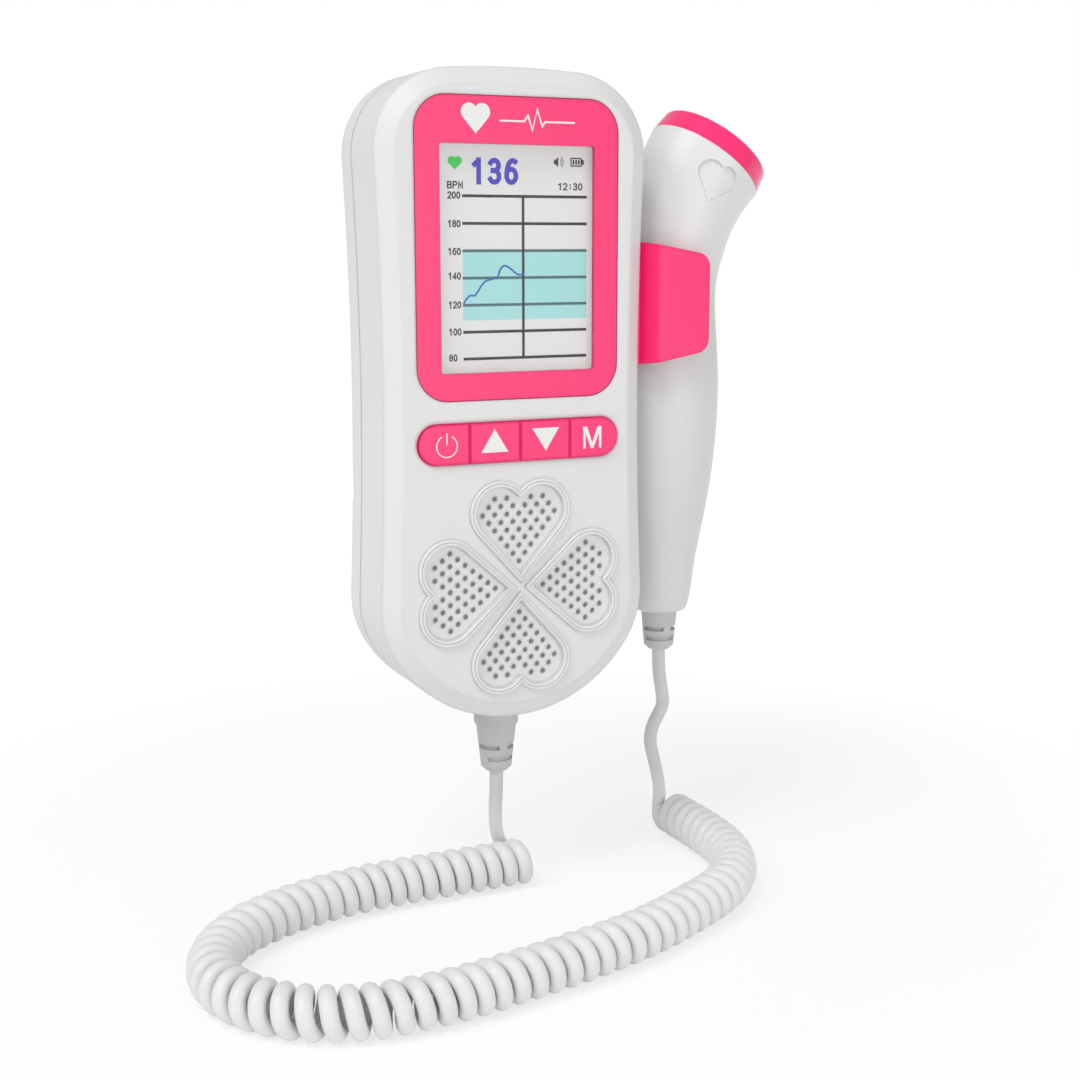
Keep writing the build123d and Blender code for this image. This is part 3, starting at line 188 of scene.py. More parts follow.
class Graph:
    """The node tree of a material or of the world."""

    def __init__(self, owner: Material | World) -> None:
        """Empties the owner's node tree.

        Args:
            owner: What the tree belongs to.
        """
        self.owner = owner
        owner.use_nodes = True
        self.tree = owner.node_tree
        self.tree.nodes.clear()

    def node(
        self,
        kind: str,
        settings: Mapping[str, object] | None = None,
        inputs: Mapping[str | int, object] | None = None,
        output: str | int = 0,
    ) -> Wire:
        """Adds any node.

        Args:
            kind: The node's type name.
            settings: Its own settings, set first. "stops" sets a ramp's stops.
            inputs: Values or wires for its sockets, by name or number.
            output: Which output to return.

        Returns:
            The chosen output as a wire.
        """
        made = self.tree.nodes.new(kind)
        for name, value in (settings or {}).items():
            if name == "stops":
                self._set_stops(made.color_ramp, value)
            else:
                setattr(made, name, value)
        for socket, value in (inputs or {}).items():
            self.feed(made.inputs[socket], value)
        return Wire(self, made.outputs[output] if made.outputs else None)

    @staticmethod
    def _set_stops(ramp: ColorRamp, stops: Sequence[tuple[float, Tint]]) -> None:
        """Gives a colour ramp its stops.

        Args:
            ramp: The colour ramp.
            stops: Each stop's place, 0 to 1, and its tint.
        """
        while len(ramp.elements) < len(stops):
            ramp.elements.new(0.5)
        for element, (position, tint) in zip(ramp.elements, stops):
            element.position = position
            element.color = (*tint, 1.0)

    def feed(self, socket: NodeSocket, value: object) -> None:
        """Links a wire to a socket, or sets the socket's own value.

        Args:
            socket: The input.
            value: A wire, a number, a vector or a tint.
        """
        if isinstance(value, Wire):
            self.tree.links.new(value.socket, socket)
        elif isinstance(value, tuple) and socket.type == "RGBA":
            socket.default_value = (*value[:3], 1.0)
        else:
            socket.default_value = value

    def where(self) -> Wire:
        """The point on the surface, in metres, in the object's own space."""
        return self.node("ShaderNodeTexCoord", output="Object")

    def ray(self, *kinds: str) -> Wire:
        """A mask of rays.

        Args:
            kinds: Kinds of ray, such as "Camera".

        Returns:
            1 for a ray of any of those kinds.
        """
        mask, *others = [self.node("ShaderNodeLightPath", output=f"Is {kind} Ray") for kind in kinds]
        for other in others:
            mask = mask.either(other)
        return mask

    def mix(self, share: Value, first: Colour, second: Colour) -> Wire:
        """Blends two colours."""
        return self.node("ShaderNodeMix", {"data_type": "RGBA"}, {0: share, 6: first, 7: second}, 2)

    def surface(self, inputs: Mapping[str | int, object]) -> Wire:
        """A Principled surface with the given values or wires."""
        return self.node("ShaderNodeBsdfPrincipled", {}, inputs)

    def close(self, shader: Wire, output: str = "ShaderNodeOutputMaterial") -> Material | World:
        """Joins a shader to the tree's output and returns the tree's owner."""
        self.node(output, {}, {"Surface": shader})
        return self.owner


# Finishes.


@dataclass(frozen=True)
class Finish:
    """A moulded surface: a tint that drifts a little, a fine grain and softened edges.

    Lengths are in metres. Each method takes the point on the surface and gives what holds there.
    """

    name: str
    tint: Tint
    roughness: float = 0.45
    metallic: float = 0.0
    coat: float = 0.0
    drift: float = 0.03
    drift_size: float = 0.03
    grain_size: float = 0.0005
    grain_depth: float = 0.000004
    gloss_drift: float = 0.05
    edge: float = 0.0

    def shade(self, factor: float, lift: float = 0.0) -> Tint:
        """The tint times a factor, lifted a little, at most 1."""
        return tuple(min(1.0, part * factor + lift) for part in self.tint)

    def tint_over(self, point: Wire) -> Wire:
        """The colour over the surface."""
        return point.noise(self.drift_size).mix(self.shade(1 - self.drift), self.shade(1 + self.drift))

    def height_over(self, point: Wire) -> Wire:
        """The grain's height over the surface, 0 to 1."""
        return point.noise(self.grain_size, 3.0)

    def roughness_over(self, point: Wire) -> Wire:
        """The roughness over the surface."""
        return self.roughness + self.gloss_drift * (point.noise(self.drift_size / 3) - 0.5)

    def shader(self, point: Wire) -> Wire:
        """The whole surface.

        Args:
            point: The point on the surface.

        Returns:
            Its shader.
        """
        bump: dict[str | int, object] = {
            "Height": self.height_over(point),
            "Distance": self.grain_depth,
            "Strength": 1.0,
        }
        if self.edge:
            bump["Normal"] = point.graph.node("ShaderNodeBevel", {"samples": EDGE_SAMPLES}, {"Radius": self.edge})
        inputs = {
            "Base Color": self.tint_over(point),
            "Roughness": self.roughness_over(point),
            "Metallic": self.metallic,
            "Coat Weight": self.coat,
            "Normal": point.graph.node("ShaderNodeBump", {}, bump),
        }
        return point.graph.surface(inputs)

    def material(self) -> Material:
        """Builds the material."""
        graph = Graph(bpy.data.materials.new(self.name))
        return graph.close(self.shader(graph.where()))


@dataclass(frozen=True)
class BrushedMetal(Finish):
    """Metal with fine lines along one axis."""

    metallic: float = 1.0
    lines: Place = (1.0, 1.0, 14.0)

    def height_over(self, point: Wire) -> Wire:
        """Height of the brushed lines."""
        return point.stretch(self.lines).noise(self.grain_size)


@dataclass(frozen=True)
class BoardLacquer(Finish):
    """Solder lacquer over copper tracks, with bare pads. Sizes of tracks and pads are shares of the pitch."""

    copper: Tint = (0.72, 0.42, 0.16)
    pitch: float = 0.0021
    patch: float = 6.0
    half_track: float = 0.16
    pad_pitch: float = 2.6
    pad: float = 0.13
    over_tracks: Spot = (1.7, 0.01)

    def height_over(self, point: Wire) -> Wire:
        """Tracks, which stand up a little, in bands that change direction from patch to patch."""
        strip = (point.noise(self.pitch * self.patch, 0.0) > 0.5).pick(point.axis("X"), point.axis("Z")) % self.pitch
        return abs(strip - self.pitch / 2) < self.pitch * self.half_track

    def tint_over(self, point: Wire) -> Wire:
        """Lacquer, paler over the tracks, with bare copper pads."""
        tracked = self.height_over(point).mix(super().tint_over(point), self.shade(*self.over_tracks))
        return (point.cells(self.pitch * self.pad_pitch) < self.pad).mix(tracked, self.copper)


@dataclass(frozen=True)
class CellWrap(Finish):
    """Printed sleeve of a dry cell: a dark body and a pale band at one end, between bare steel ends."""

    band: Tint = (0.75, 0.62, 0.30)
    steel: Tint = (0.70, 0.70, 0.70)
    low: float = -0.0560
    high: float = -0.0055
    band_start: float = 0.70
    top: float = 0.985
    foot: float = 0.012

    def tint_over(self, point: Wire) -> Wire:
        """Sleeve colours along the cell, each cell the other way up.

        Args:
            point: The point on either cell.

        Returns:
            The colour there.
        """
        upward = (point.axis("Z") - self.low) * (1 / (self.high - self.low))
        share = (point.axis("X") < 0.0).pick(upward, 1 - upward)
        sleeve = share.ramp(self.band_start, self.band_start + 0.01).mix(super().tint_over(point), self.band)
        return (share > self.top).either(share < self.foot).mix(sleeve, self.steel)


@dataclass(frozen=True)
class ConePaper(Finish):
    """Pressed paper with rings and fibres."""

    middle: Place = (0.0, 0.0, -0.0430)
    ring_pitch: float = 0.0016
    fibres: float = 0.3

    def height_over(self, point: Wire) -> Wire:
        """Pressed rings round the cone's middle, and fibres."""
        turns = point.past(self.middle).stretch((1.0, 0.0, 1.0)).reach() * (FULL_TURN / self.ring_pitch)
        return (turns.sine() * 0.5 + 0.5) * (1 - self.fibres) + point.noise(self.grain_size, 4.0) * self.fibres


@dataclass(frozen=True)
class Foam(Finish):
    """Open-cell foam or cloth."""

    def height_over(self, point: Wire) -> Wire:
        """Pores."""
        return point.cells(self.grain_size)


@dataclass(frozen=True)
class CordJacket(Finish):
    """Soft extruded jacket, dusty in spots from handling, with painted shade along the straight tails."""

    dust_and_shade_tint: Tint = (0.60, 0.60, 0.60)
    spot_size: float = 0.009
    spot_range: Spot = (0.52, 0.78)
    spot_share: float = 0.2
    tail_shade_range: Spot = (-0.110, -0.098)
    tail_shade_share: float = 0.75

    def tint_over(self, point: Wire) -> Wire:
        """Jacket colour, darker in dusty spots from handling, and darker along the straight tails as painted shade.

        Args:
            point: The point on the jacket.

        Returns:
            The colour there.
        """
        spots = point.noise(self.spot_size, 3.0).ramp(*self.spot_range) * self.spot_share
        # Painted shade darkens the straight tails, above the curls; the spots are dusty handling marks.
        dust_and_shade_share = spots.either(point.axis("Z").ramp(*self.tail_shade_range) * self.tail_shade_share)
        return dust_and_shade_share.mix(super().tint_over(point), self.dust_and_shade_tint)


@dataclass(frozen=True)
class ShadedHandleWhite(Finish):
    """White moulding with painted shade: a darker tint on the handle, below the clip."""

    handle_top: Spot = (0.022, 0.034)
    # Painted shade: the handle's tint, as a share of the head's.
    handle_shade: float = 0.92

    def tint_over(self, point: Wire) -> Wire:
        """The tint on the head, and a darker tint painted on the handle as shade."""
        return point.axis("Z").ramp(*self.handle_top).mix(self.shade(self.handle_shade), super().tint_over(point))


@dataclass(frozen=True)
class GrooveShadedPink(Finish):
    """Pink moulding with painted shade: behind its front plane, in the grooves, it turns deep crimson."""

    groove_shade_tint: Tint = (0.62, 0.002, 0.115)
    front: float = -0.0289
    lip: float = 0.0004

    def tint_over(self, point: Wire) -> Wire:
        """Pink in front, and crimson painted shade down in the grooves."""
        # Painted shade: behind the front plane the groove shade tint takes over.
        sunk = point.axis("Y").ramp(self.front, self.front + self.lip)
        return sunk.mix(super().tint_over(point), self.groove_shade_tint)


@dataclass(frozen=True)
class RootShadedClipPink(Finish):
    """Pink spring arm with painted shade: a deeper tint near its root, where it meets the case."""

    root: float = 0.0340
    reach: float = 0.016
    root_shade_tint: Tint = (1.0, 0.006, 0.152)
    root_shade_edge: Spot = (0.13, 0.17)
    drift_share: float = 0.1

    def tint_over(self, point: Wire) -> Wire:
        """The tint from the root outwards, deeper near the root as painted shade.

        Args:
            point: The point on the clip.

        Returns:
            The colour there.
        """
        inner, outer = self.root_shade_edge
        # Painted shade: the deep root tint fades into the clip's own pink.
        stops = [(0.0, self.root_shade_tint), (inner, self.root_shade_tint), (outer, self.tint), (1.0, self.tint)]
        share = (point.axis("X") - self.root) * (1 / self.reach)
        root_shade = point.graph.node("ShaderNodeValToRGB", {"stops": stops}, {0: share}, "Color")
        return (point.noise(self.drift_size) * self.drift_share).mix(root_shade, super().tint_over(point))


@dataclass(frozen=True)
class ClearPane(Finish):
    """Thin clear pane: almost nothing of its own but its gloss."""

    cover: float = 0.02

    def shader(self, point: Wire) -> Wire:
        """A clear pane with a faint film of its own tint."""
        inputs = {"Base Color": self.tint_over(point), "Roughness": self.roughness_over(point), "Alpha": self.cover}
        return point.graph.surface(inputs)


@dataclass(frozen=True)
class LitInk(Finish):
    """Colour shown by the display in fine rows, lit a little from behind."""

    glow: float = 0.38
    row_pitch: float = 0.00016
    row_width: float = 0.00014
    row_tone: float = 0.93
    top_shade_range: Spot = (0.044, 0.057)
    top_shade_share: float = 0.05

    def shader(self, point: Wire) -> Wire:
        """Ink whose own light adds to the room's, with painted shade making it a little dimmer towards the top.

        Args:
            point: The point on the ink.

        Returns:
            Its shader.
        """
        graph = point.graph
        rise = point.axis("Z")
        rows = abs(rise % self.row_pitch - self.row_pitch / 2) < self.row_width / 2
        lined = rows.mix(self.shade(self.row_tone), self.tint_over(point))
        # Painted shade: a little darker towards the top of the window.
        shown = (rise.ramp(*self.top_shade_range) * self.top_shade_share).mix(lined, BLACK)
        inputs = {
            "Base Color": graph.mix(self.glow, shown, BLACK),
            "Roughness": self.roughness,
            "Emission Color": shown,
            "Emission Strength": self.glow,
        }
        return graph.surface(inputs)


WHITE_CASE = Finish("white_case", tone(227, 227, 227), 0.42, grain_size=0.0006, edge=0.0014)
# The probe's handle carries painted shade below the clip.
WHITE_PROBE = ShadedHandleWhite("white_probe", tone(227, 227, 227), 0.36, grain_size=0.0006, grain_depth=0.000003, edge=0.0003)
WHITE_RIM = Finish("white_rim", tone(230, 230, 230), 0.40, grain_size=0.0006, grain_depth=0.000003)
# Pink trim and keys carry crimson painted shade in their grooves.
PINK_TRIM = GrooveShadedPink("pink_trim", (1.0, 0.029, 0.185), 0.34, drift=0.02, grain_size=0.0006, edge=0.0003)
PINK_RING = Finish("pink_ring", (1.0, 0.024, 0.185), 0.15, drift=0.02, grain_size=0.0006, coat=0.1, edge=0.0003)
PINK_KEYS = GrooveShadedPink("pink_keys", (1.0, 0.029, 0.185), 0.30, drift=0.02, edge=0.0003, front=-0.02976)
PINK_CLIP = RootShadedClipPink("pink_clip", (1.0, 0.035, 0.195), 0.26, drift=0.02, grain_size=0.0007, edge=0.0004)
# Painted shade: the deep crimson of the key ribs and liner stands for shade in the grooves.
GROOVE_SHADE_RIB = Finish("groove_shade_rib", (0.85, 0.003, 0.170), 0.4)
DARK_CRIMSON = Finish("dark_crimson", (0.36, 0.002, 0.050), 0.4)
WHITE_INK = Finish("white_ink", tone(238, 238, 236), 0.5, drift=0.02, grain_size=0.0003, grain_depth=0.000002)
GRILLE_CLOTH = Foam("grille_cloth", (0.36, 0.36, 0.36), 0.8, drift=0.05, grain_size=0.0004, grain_depth=0.00005)
GREY_RELIEF = Finish("grey_relief", tone(196, 197, 199), 0.55, drift=0.04, drift_size=0.006, edge=0.00025)
PALE_JACKET = CordJacket("pale_jacket", tone(233, 233, 234), 0.38, drift=0.025, drift_size=0.012, grain_size=0.0004)
DARK_MOULDING = Finish("dark_moulding", (0.025, 0.025, 0.028), 0.5, drift=0.1, drift_size=0.004)
PALE_MOULDING = Finish("pale_moulding", (0.70, 0.70, 0.67), 0.5, drift=0.04, drift_size=0.008)
RIBBON_FILM = Finish("ribbon_film", (0.55, 0.26, 0.06), 0.3, drift=0.12, drift_size=0.002, coat=0.4)
GREEN_LACQUER = BoardLacquer("green_lacquer", (0.012, 0.11, 0.045), 0.28, coat=0.5, grain_depth=0.00003)
CAN_METAL = BrushedMetal("can_metal", (0.80, 0.80, 0.82), 0.3, grain_size=0.0004)
SCREW_METAL = BrushedMetal("screw_metal", (0.62, 0.62, 0.64), 0.32, grain_size=0.0003)
NICKEL_PLATE = BrushedMetal("nickel_plate", (0.78, 0.76, 0.70), 0.22, grain_size=0.0004)
MAGNET_PLATE = BrushedMetal("magnet_plate", (0.55, 0.56, 0.58), 0.35)
BASKET_PAINT = Finish("basket_paint", (0.02, 0.02, 0.022), drift=0.1, drift_size=0.004)
GREY_CONE = ConePaper("grey_cone", (0.78, 0.78, 0.785), 0.8, drift=0.1, drift_size=0.003, grain_depth=0.00008)
SPEAKER_FOAM = Foam("speaker_foam", (0.03, 0.03, 0.032), 0.9, drift=0.2, grain_size=0.0006, grain_depth=0.0001)
CELL_SLEEVE = CellWrap("cell_sleeve", (0.03, 0.05, 0.10), 0.35, drift=0.04, coat=0.5)
LENS = ClearPane("lens", (0.95, 0.96, 0.97), 0.08, drift=0.01, gloss_drift=0.02)
PANEL_BORDER = Finish("panel_border", tone(212, 214, 214), 0.4, drift=0.02)
PROBE_FACE = Finish("probe_face", tone(232, 231, 226), 0.25, drift_size=0.01, grain_size=0.0008)
PIEZO = Finish("piezo", (0.62, 0.58, 0.46), 0.3, metallic=0.4, drift=0.1, drift_size=0.002)
BACKING = Finish("backing", (0.03, 0.03, 0.032), 0.7, drift=0.2, drift_size=0.003, grain_depth=0.00003)


class ScreenTone(Enum):
    """The colours that the display shows."""

    PAPER = LitInk("screen_paper", tone(226, 227, 226), drift=0.01)
    BAND = LitInk("screen_band", tone(163, 220, 220), drift=0.01)
    RULE = LitInk("screen_rule", tone(24, 24, 23))
    BAND_RULE = LitInk("screen_band_rule", tone(60, 104, 110))
    FIGURE = LitInk("screen_figure", tone(34, 34, 34))
    RATE = LitInk("screen_rate", tone(62, 46, 190))
    TRACE = LitInk("screen_trace", tone(38, 76, 176))
    HEART = LitInk("screen_heart", tone(40, 208, 72), drift=0.05)


# Shapes.


def arc_line(middle: Spot, reach: Spot, start: float, end: float, steps: int = 12) -> list[Spot]:
    """Points along part of an ellipse.

    Args:
        middle: Its middle.
        reach: Its half width and half height.
        start: First angle in degrees, anticlockwise from the right.
        end: Last angle.
        steps: Runs between the points.

    Returns:
        The points.
    """
    angles = [math.radians(start + (end - start) * step / steps) for step in range(steps + 1)]
    return [(middle[0] + reach[0] * math.cos(angle), middle[1] + reach[1] * math.sin(angle)) for angle in angles]


def box_outline(low: Spot, high: Spot) -> Outline:
    """A rectangle between two corners."""
    return [low, (high[0], low[1]), high, (low[0], high[1])]


def heart_outline(lobe: float, side: float, rise: float, inset: float = 0.0, steps: int = 14) -> Outline:
    """A plain heart with its tip down at the origin: two round lobes and straight sides that touch them.

    Args:
        lobe: The lobes' radius.
        side: Each lobe's middle, from the heart's own middle line.
        rise: Each lobe's middle, above the tip.
        inset: How far the outline is stepped in.
        steps: Runs along each lobe.

    Returns:
        Its outline, anticlockwise.
    """
    slant = math.atan2(side, rise) + math.asin(lobe / math.hypot(side, rise))
    radius = lobe - inset
    cleft = math.pi - math.acos(side / radius)
    right = arc_line((side, rise), (radius, radius), -math.degrees(slant), math.degrees(cleft), steps)
    return [(0.0, inset / math.sin(slant)), *right, *[(-x, y) for x, y in reversed(right[:-1])]]


def small_heart(width: float, height: float, middle: Spot, lobe_share: float = 0.274) -> Outline:
    """A plain heart, tip down, that fills a box.

    Args:
        width: The box's width.
        height: Its height.
        middle: Its middle.
        lobe_share: The lobes' radius as a share of the width.

    Returns:
        Its outline, anticlockwise.
    """
    lobe = width * lobe_share
    outline = heart_outline(lobe, width / 2 - lobe, height - lobe)
    return [(x + middle[0], y - height / 2 + middle[1]) for x, y in outline]


def band_outline(points: Sequence[Spot], width: float, cap: float = 0.0) -> Outline:
    """A line of the given width along points, with mitred corners, as one closed outline.

    Args:
        points: The line's middle.
        width: Its width.
        cap: How far each end goes on past its point.

    Returns:
        The outline.
    """
    sharpest = 0.45
    spots = [Vector(point) for point in points]
    if cap:
        spots[0] = spots[0] + (spots[0] - spots[1]).normalized() * cap
        spots[-1] = spots[-1] + (spots[-1] - spots[-2]).normalized() * cap
    runs = [(after - before).normalized() for before, after in zip(spots, spots[1:])]
    left: Outline = []
    right: Outline = []
    for spot, before, after in zip(spots, [runs[0], *runs], [*runs, runs[-1]]):
        across = Vector((-after.y, after.x))
        side = (Vector((-before.y, before.x)) + across).normalized()
        side *= width / 2 / max(side.dot(across), sharpest)
        left.append((spot.x + side.x, spot.y + side.y))
        right.append((spot.x - side.x, spot.y - side.y))
    return right + left[::-1]


def smooth_line(points: Sequence[Spot], steps: int = 6) -> list[Spot]:
    """Points along a Catmull-Rom curve.

    Args:
        points: The points that it goes through.
        steps: Runs between each two of them.

    Returns:
        The points along it.
    """
    ends = [points[0], *points, points[-1]]
    line: list[Spot] = []
    for corners in zip(ends, ends[1:], ends[2:], ends[3:]):
        for t in (step / steps for step in range(steps)):
            spot = (
                0.5 * (2 * b + (c - a) * t + (2 * a - 5 * b + 4 * c - d) * t**2 + (3 * b - a - 3 * c + d) * t**3)
                for a, b, c, d in zip(*corners)
            )
            line.append(tuple(spot))
    return [*line, points[-1]]


def front_of(node: str) -> tuple[Spot, Spot]:
    """A CAD node's lowest and highest corner as seen from the front, in millimetres."""
    return tuple((corner[0] / MM, corner[2] / MM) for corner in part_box(node))


def put(name: str, data: ID) -> Object:
    """Makes an object and links it to the scene.

    Args:
        name: Its name.
        data: Its mesh, curve, lamp or camera.

    Returns:
        The object.
    """
    made = bpy.data.objects.new(name, data)
    bpy.context.scene.collection.objects.link(made)
    return made


def smooth_curve(name: str, points: Sequence[Sequence[float]], resolution: int) -> Object:
    """A curve of one smooth spline.

    Args:
        name: The object's name.
        points: The spline's control points.
        resolution: Runs between each two of them.

    Returns:
        The curve, with no thickness.
    """
    data = bpy.data.curves.new(name, "CURVE")
    data.dimensions = "3D"
    data.resolution_u = resolution
    spline = data.splines.new("NURBS")
    spline.points.add(len(points) - 1)
    for place, point in zip(spline.points, points):
        place.co = (*point, 1.0)
    spline.order_u = 3
    spline.use_endpoint_u = True
    return put(name, data)


def read_line(curve: Object) -> list[Vector]:
    """Reads the points that a curve with no thickness runs through.

    Args:
        curve: The curve.

    Returns:
        Its points, in order.
    """
    made = bpy.data.meshes.new_from_object(curve.evaluated_get(bpy.context.evaluated_depsgraph_get()))
    points = [vertex.co.copy() for vertex in made.vertices]
    bpy.data.meshes.remove(made)
    return points


def run_lengths(points: Sequence[Vector]) -> list[float]:
    """The length of each run between points."""
    return [(after - before).length for before, after in zip(points, points[1:])]


@dataclass
class Workshop:
    """Makes pieces, gives them their finish and puts them on their body."""

    nodes: Mapping[str, Object]
    materials: dict[Finish, Material] = field(default_factory=dict)

    def material(self, finish: Finish) -> Material:
        """The material of a finish, built once."""
        made = self.materials.get(finish) or finish.material()
        return self.materials.setdefault(finish, made)

    def dress(self, finish: Finish, *names: str) -> None:
        """Gives CAD nodes their finish.

        Args:
            finish: What they are made of.
            names: The nodes' names.
        """
        for name in names:
            piece = self.nodes[name]
            if not piece.material_slots:
                piece.data.materials.append(self.material(finish))
            for place in piece.material_slots:
                place.material = self.material(finish)
            log.info("dressed %s in %s", name, finish.name)

    def place(self, piece: Object, finish: Finish, body: str, slot: str) -> None:
        """Gives a new piece its finish and puts it on its body.

        Args:
            piece: The new object.
            finish: What it is made of.
            body: The CAD body that carries it.
            slot: Not used.
        """
        piece.data.materials.append(self.material(finish))
        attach(piece, body)
        log.info("made %s on %s", piece.name, body)

    @staticmethod
    def plates(
        name: str, outlines: Iterable[Outline], back: float, thickness: float, lift: float = 0.0
    ) -> Object:
        """Flat plates that face the front.

        Args:
            name: The piece's name.
            outlines: Outlines in millimetres, as seen from the front.
            back: Depth of the plates' backs, in millimetres.
            thickness: How far they stand forward, in millimetres.
            lift: How much further each of four neighbouring plates stands, so that crossing strokes part.

        Returns:
            One object with every plate in it.
        """
        mesh = bpy.data.meshes.new(name)
        work = bmesh.new()
        for number, outline in enumerate(outlines):
            ahead = back - thickness - lift * (number % 4)
            rear = [work.verts.new((x * MM, back * MM, z * MM)) for x, z in outline]
            front = [work.verts.new((x * MM, ahead * MM, z * MM)) for x, z in outline]
            work.faces.new(front)
            work.faces.new(rear[::-1])
            for index in range(len(outline)):
                after = (index + 1) % len(outline)
                work.faces.new((rear[index], rear[after], front[after], front[index]))
        bmesh.ops.recalc_face_normals(work, faces=work.faces)
        bmesh.ops.triangulate(work, faces=[face for face in work.faces if len(face.verts) > 4])
        work.to_mesh(mesh)
        work.free()
        return put(name, mesh)


STROKES: dict[str, list[list[Spot]]] = {
    "0": [arc_line((0.5, 0.5), (0.5, 0.5), 90, 450, 20)],
    "1": [[(0.56, 0.0), (0.56, 1.0)], [(0.12, 0.80), (0.48, 0.95)]],
    "2": [[*arc_line((0.5, 0.71), (0.48, 0.29), 165, -35), (0.0, 0.0), (1.0, 0.0)]],
    "3": [
        [*arc_line((0.46, 0.765), (0.45, 0.235), 150, -90), (0.3, 0.53)],
        arc_line((0.46, 0.265), (0.5, 0.265), 90, -150),
    ],
    "4": [[(0.74, 0.0), (0.74, 1.0), (0.0, 0.27), (1.0, 0.27)]],
    "6": [arc_line((0.5, 0.305), (0.5, 0.305), 90, 450, 20), arc_line((0.66, 0.34), (0.66, 0.66), 68, 180)],
    "8": [arc_line((0.5, 0.765), (0.43, 0.235), 90, 450, 20), arc_line((0.5, 0.265), (0.5, 0.265), 90, 450, 20)],
    ":": [[(0.5, 0.2), (0.5, 0.3)], [(0.5, 0.7), (0.5, 0.8)]],
    "B": [
        [(0.0, 0.0), (0.0, 1.0), *arc_line((0.5, 0.765), (0.42, 0.235), 90, -90), (0.0, 0.53)],
        [(0.4, 0.53), *arc_line((0.5, 0.265), (0.48, 0.265), 90, -90), (0.0, 0.0)],
    ],
    "P": [[(0.0, 0.0), (0.0, 1.0), *arc_line((0.5, 0.735), (0.48, 0.265), 90, -90), (0.0, 0.47)]],
    "M": [[(0.0, 0.0), (0.0, 1.0), (0.5, 0.28), (1.0, 1.0), (1.0, 0.0)]],
}


@dataclass(frozen=True)
class Entry:
    """Something written in plain strokes. Lengths are in millimetres, to the middle of the strokes."""

    text: str
    middle: Spot
    height: float = 1.34
    wide: float = 0.70
    step: float = 1.06
    stroke: float = 0.30

    def outlines(self) -> list[Outline]:
        """Draws every stroke of every sign. A stroke that closes on itself is made in halves.

        Returns:
            The strokes' outlines.
        """
        made = []
        left = self.middle[0] - (self.step * (len(self.text) - 1) + self.wide) / 2
        low = self.middle[1] - self.height / 2
        for index, sign in enumerate(self.text):
            for line in STROKES[sign]:
                points = [(left + index * self.step + x * self.wide, low + z * self.height) for x, z in line]
                half = len(points) // 2
                if math.dist(line[0], line[-1]) < 0.01:
                    made.append(band_outline(points[: half + 1], self.stroke, self.stroke / 12))
                    made.append(band_outline(points[half:], self.stroke, self.stroke / 12))
                else:
                    made.append(band_outline(points, self.stroke, self.stroke / 2))
        return made


# Sub-assemblies.


@dataclass
class Case:
    """The unit's two shells, door, clip and speaker grille. Millimetres."""

    shop: Workshop
    clover_z: float = -43.06
    rim_front: float = -29.5
    bead_radius: float = 0.36
    bead_insets: tuple[float, float] = (0.38, 1.12)
    heart_tip: float = 1.0
    lobe_radius: float = 7.45
    lobe_out: float = 18.05
    lobe_side: float = 5.25
    cloth_radius: float = 23.3
    cloth_back: float = -27.45
    cloth_thickness: float = 0.12

    def grille_bead(self, name: str, inset: float) -> None:
        """A rounded bead along each grille heart's rim.

        Args:
            name: The piece's name.
            inset: How far the bead lies inside the rim's outer edge.
        """
        data = bpy.data.curves.new(name, "CURVE")
        data.dimensions = "3D"
        data.bevel_depth = self.bead_radius * MM
        data.bevel_resolution = 3
        line = heart_outline(self.lobe_radius, self.lobe_side, self.lobe_out - self.heart_tip, inset, 22)
        for turn in (quarter * FULL_TURN / 4 for quarter in range(4)):
            spline = data.splines.new("POLY")
            spline.points.add(len(line) - 1)
            for point, (side, rise) in zip(spline.points, line):
                out = rise + self.heart_tip
                x = side * math.cos(turn) - out * math.sin(turn)
                z = side * math.sin(turn) + out * math.cos(turn) + self.clover_z
                point.co = (x * MM, self.rim_front * MM, z * MM, 1.0)
            spline.use_cyclic_u = True
        self.shop.place(put(name, data), WHITE_RIM, "unit", "case_plastic")

    def grille_cloth(self) -> None:
        """Grey cloth moulded into the grille, seen at the foot of every hole."""
        ring = arc_line((0.0, self.clover_z), (self.cloth_radius, self.cloth_radius), 0, 360, 64)[:-1]
        cloth = self.shop.plates("grille_cloth", [ring], self.cloth_back, self.cloth_thickness)
        self.shop.place(cloth, GRILLE_CLOTH, "unit", "gasket_foam")

    def build(self) -> None:
        """Dresses the CAD pieces and adds the grille's beads and cloth."""
        self.shop.dress(WHITE_CASE, "front_shell", "rear_shell", "battery_door")
        self.shop.dress(PINK_CLIP, "probe_clip")
        self.shop.dress(SCREW_METAL, "case_screws")
        self.shop.dress(GREY_RELIEF, "unit_strain_relief")
        for name, inset in zip(("outer", "inner"), self.bead_insets):
            self.grille_bead(f"grille_{name}_bead", inset)
        self.grille_cloth()


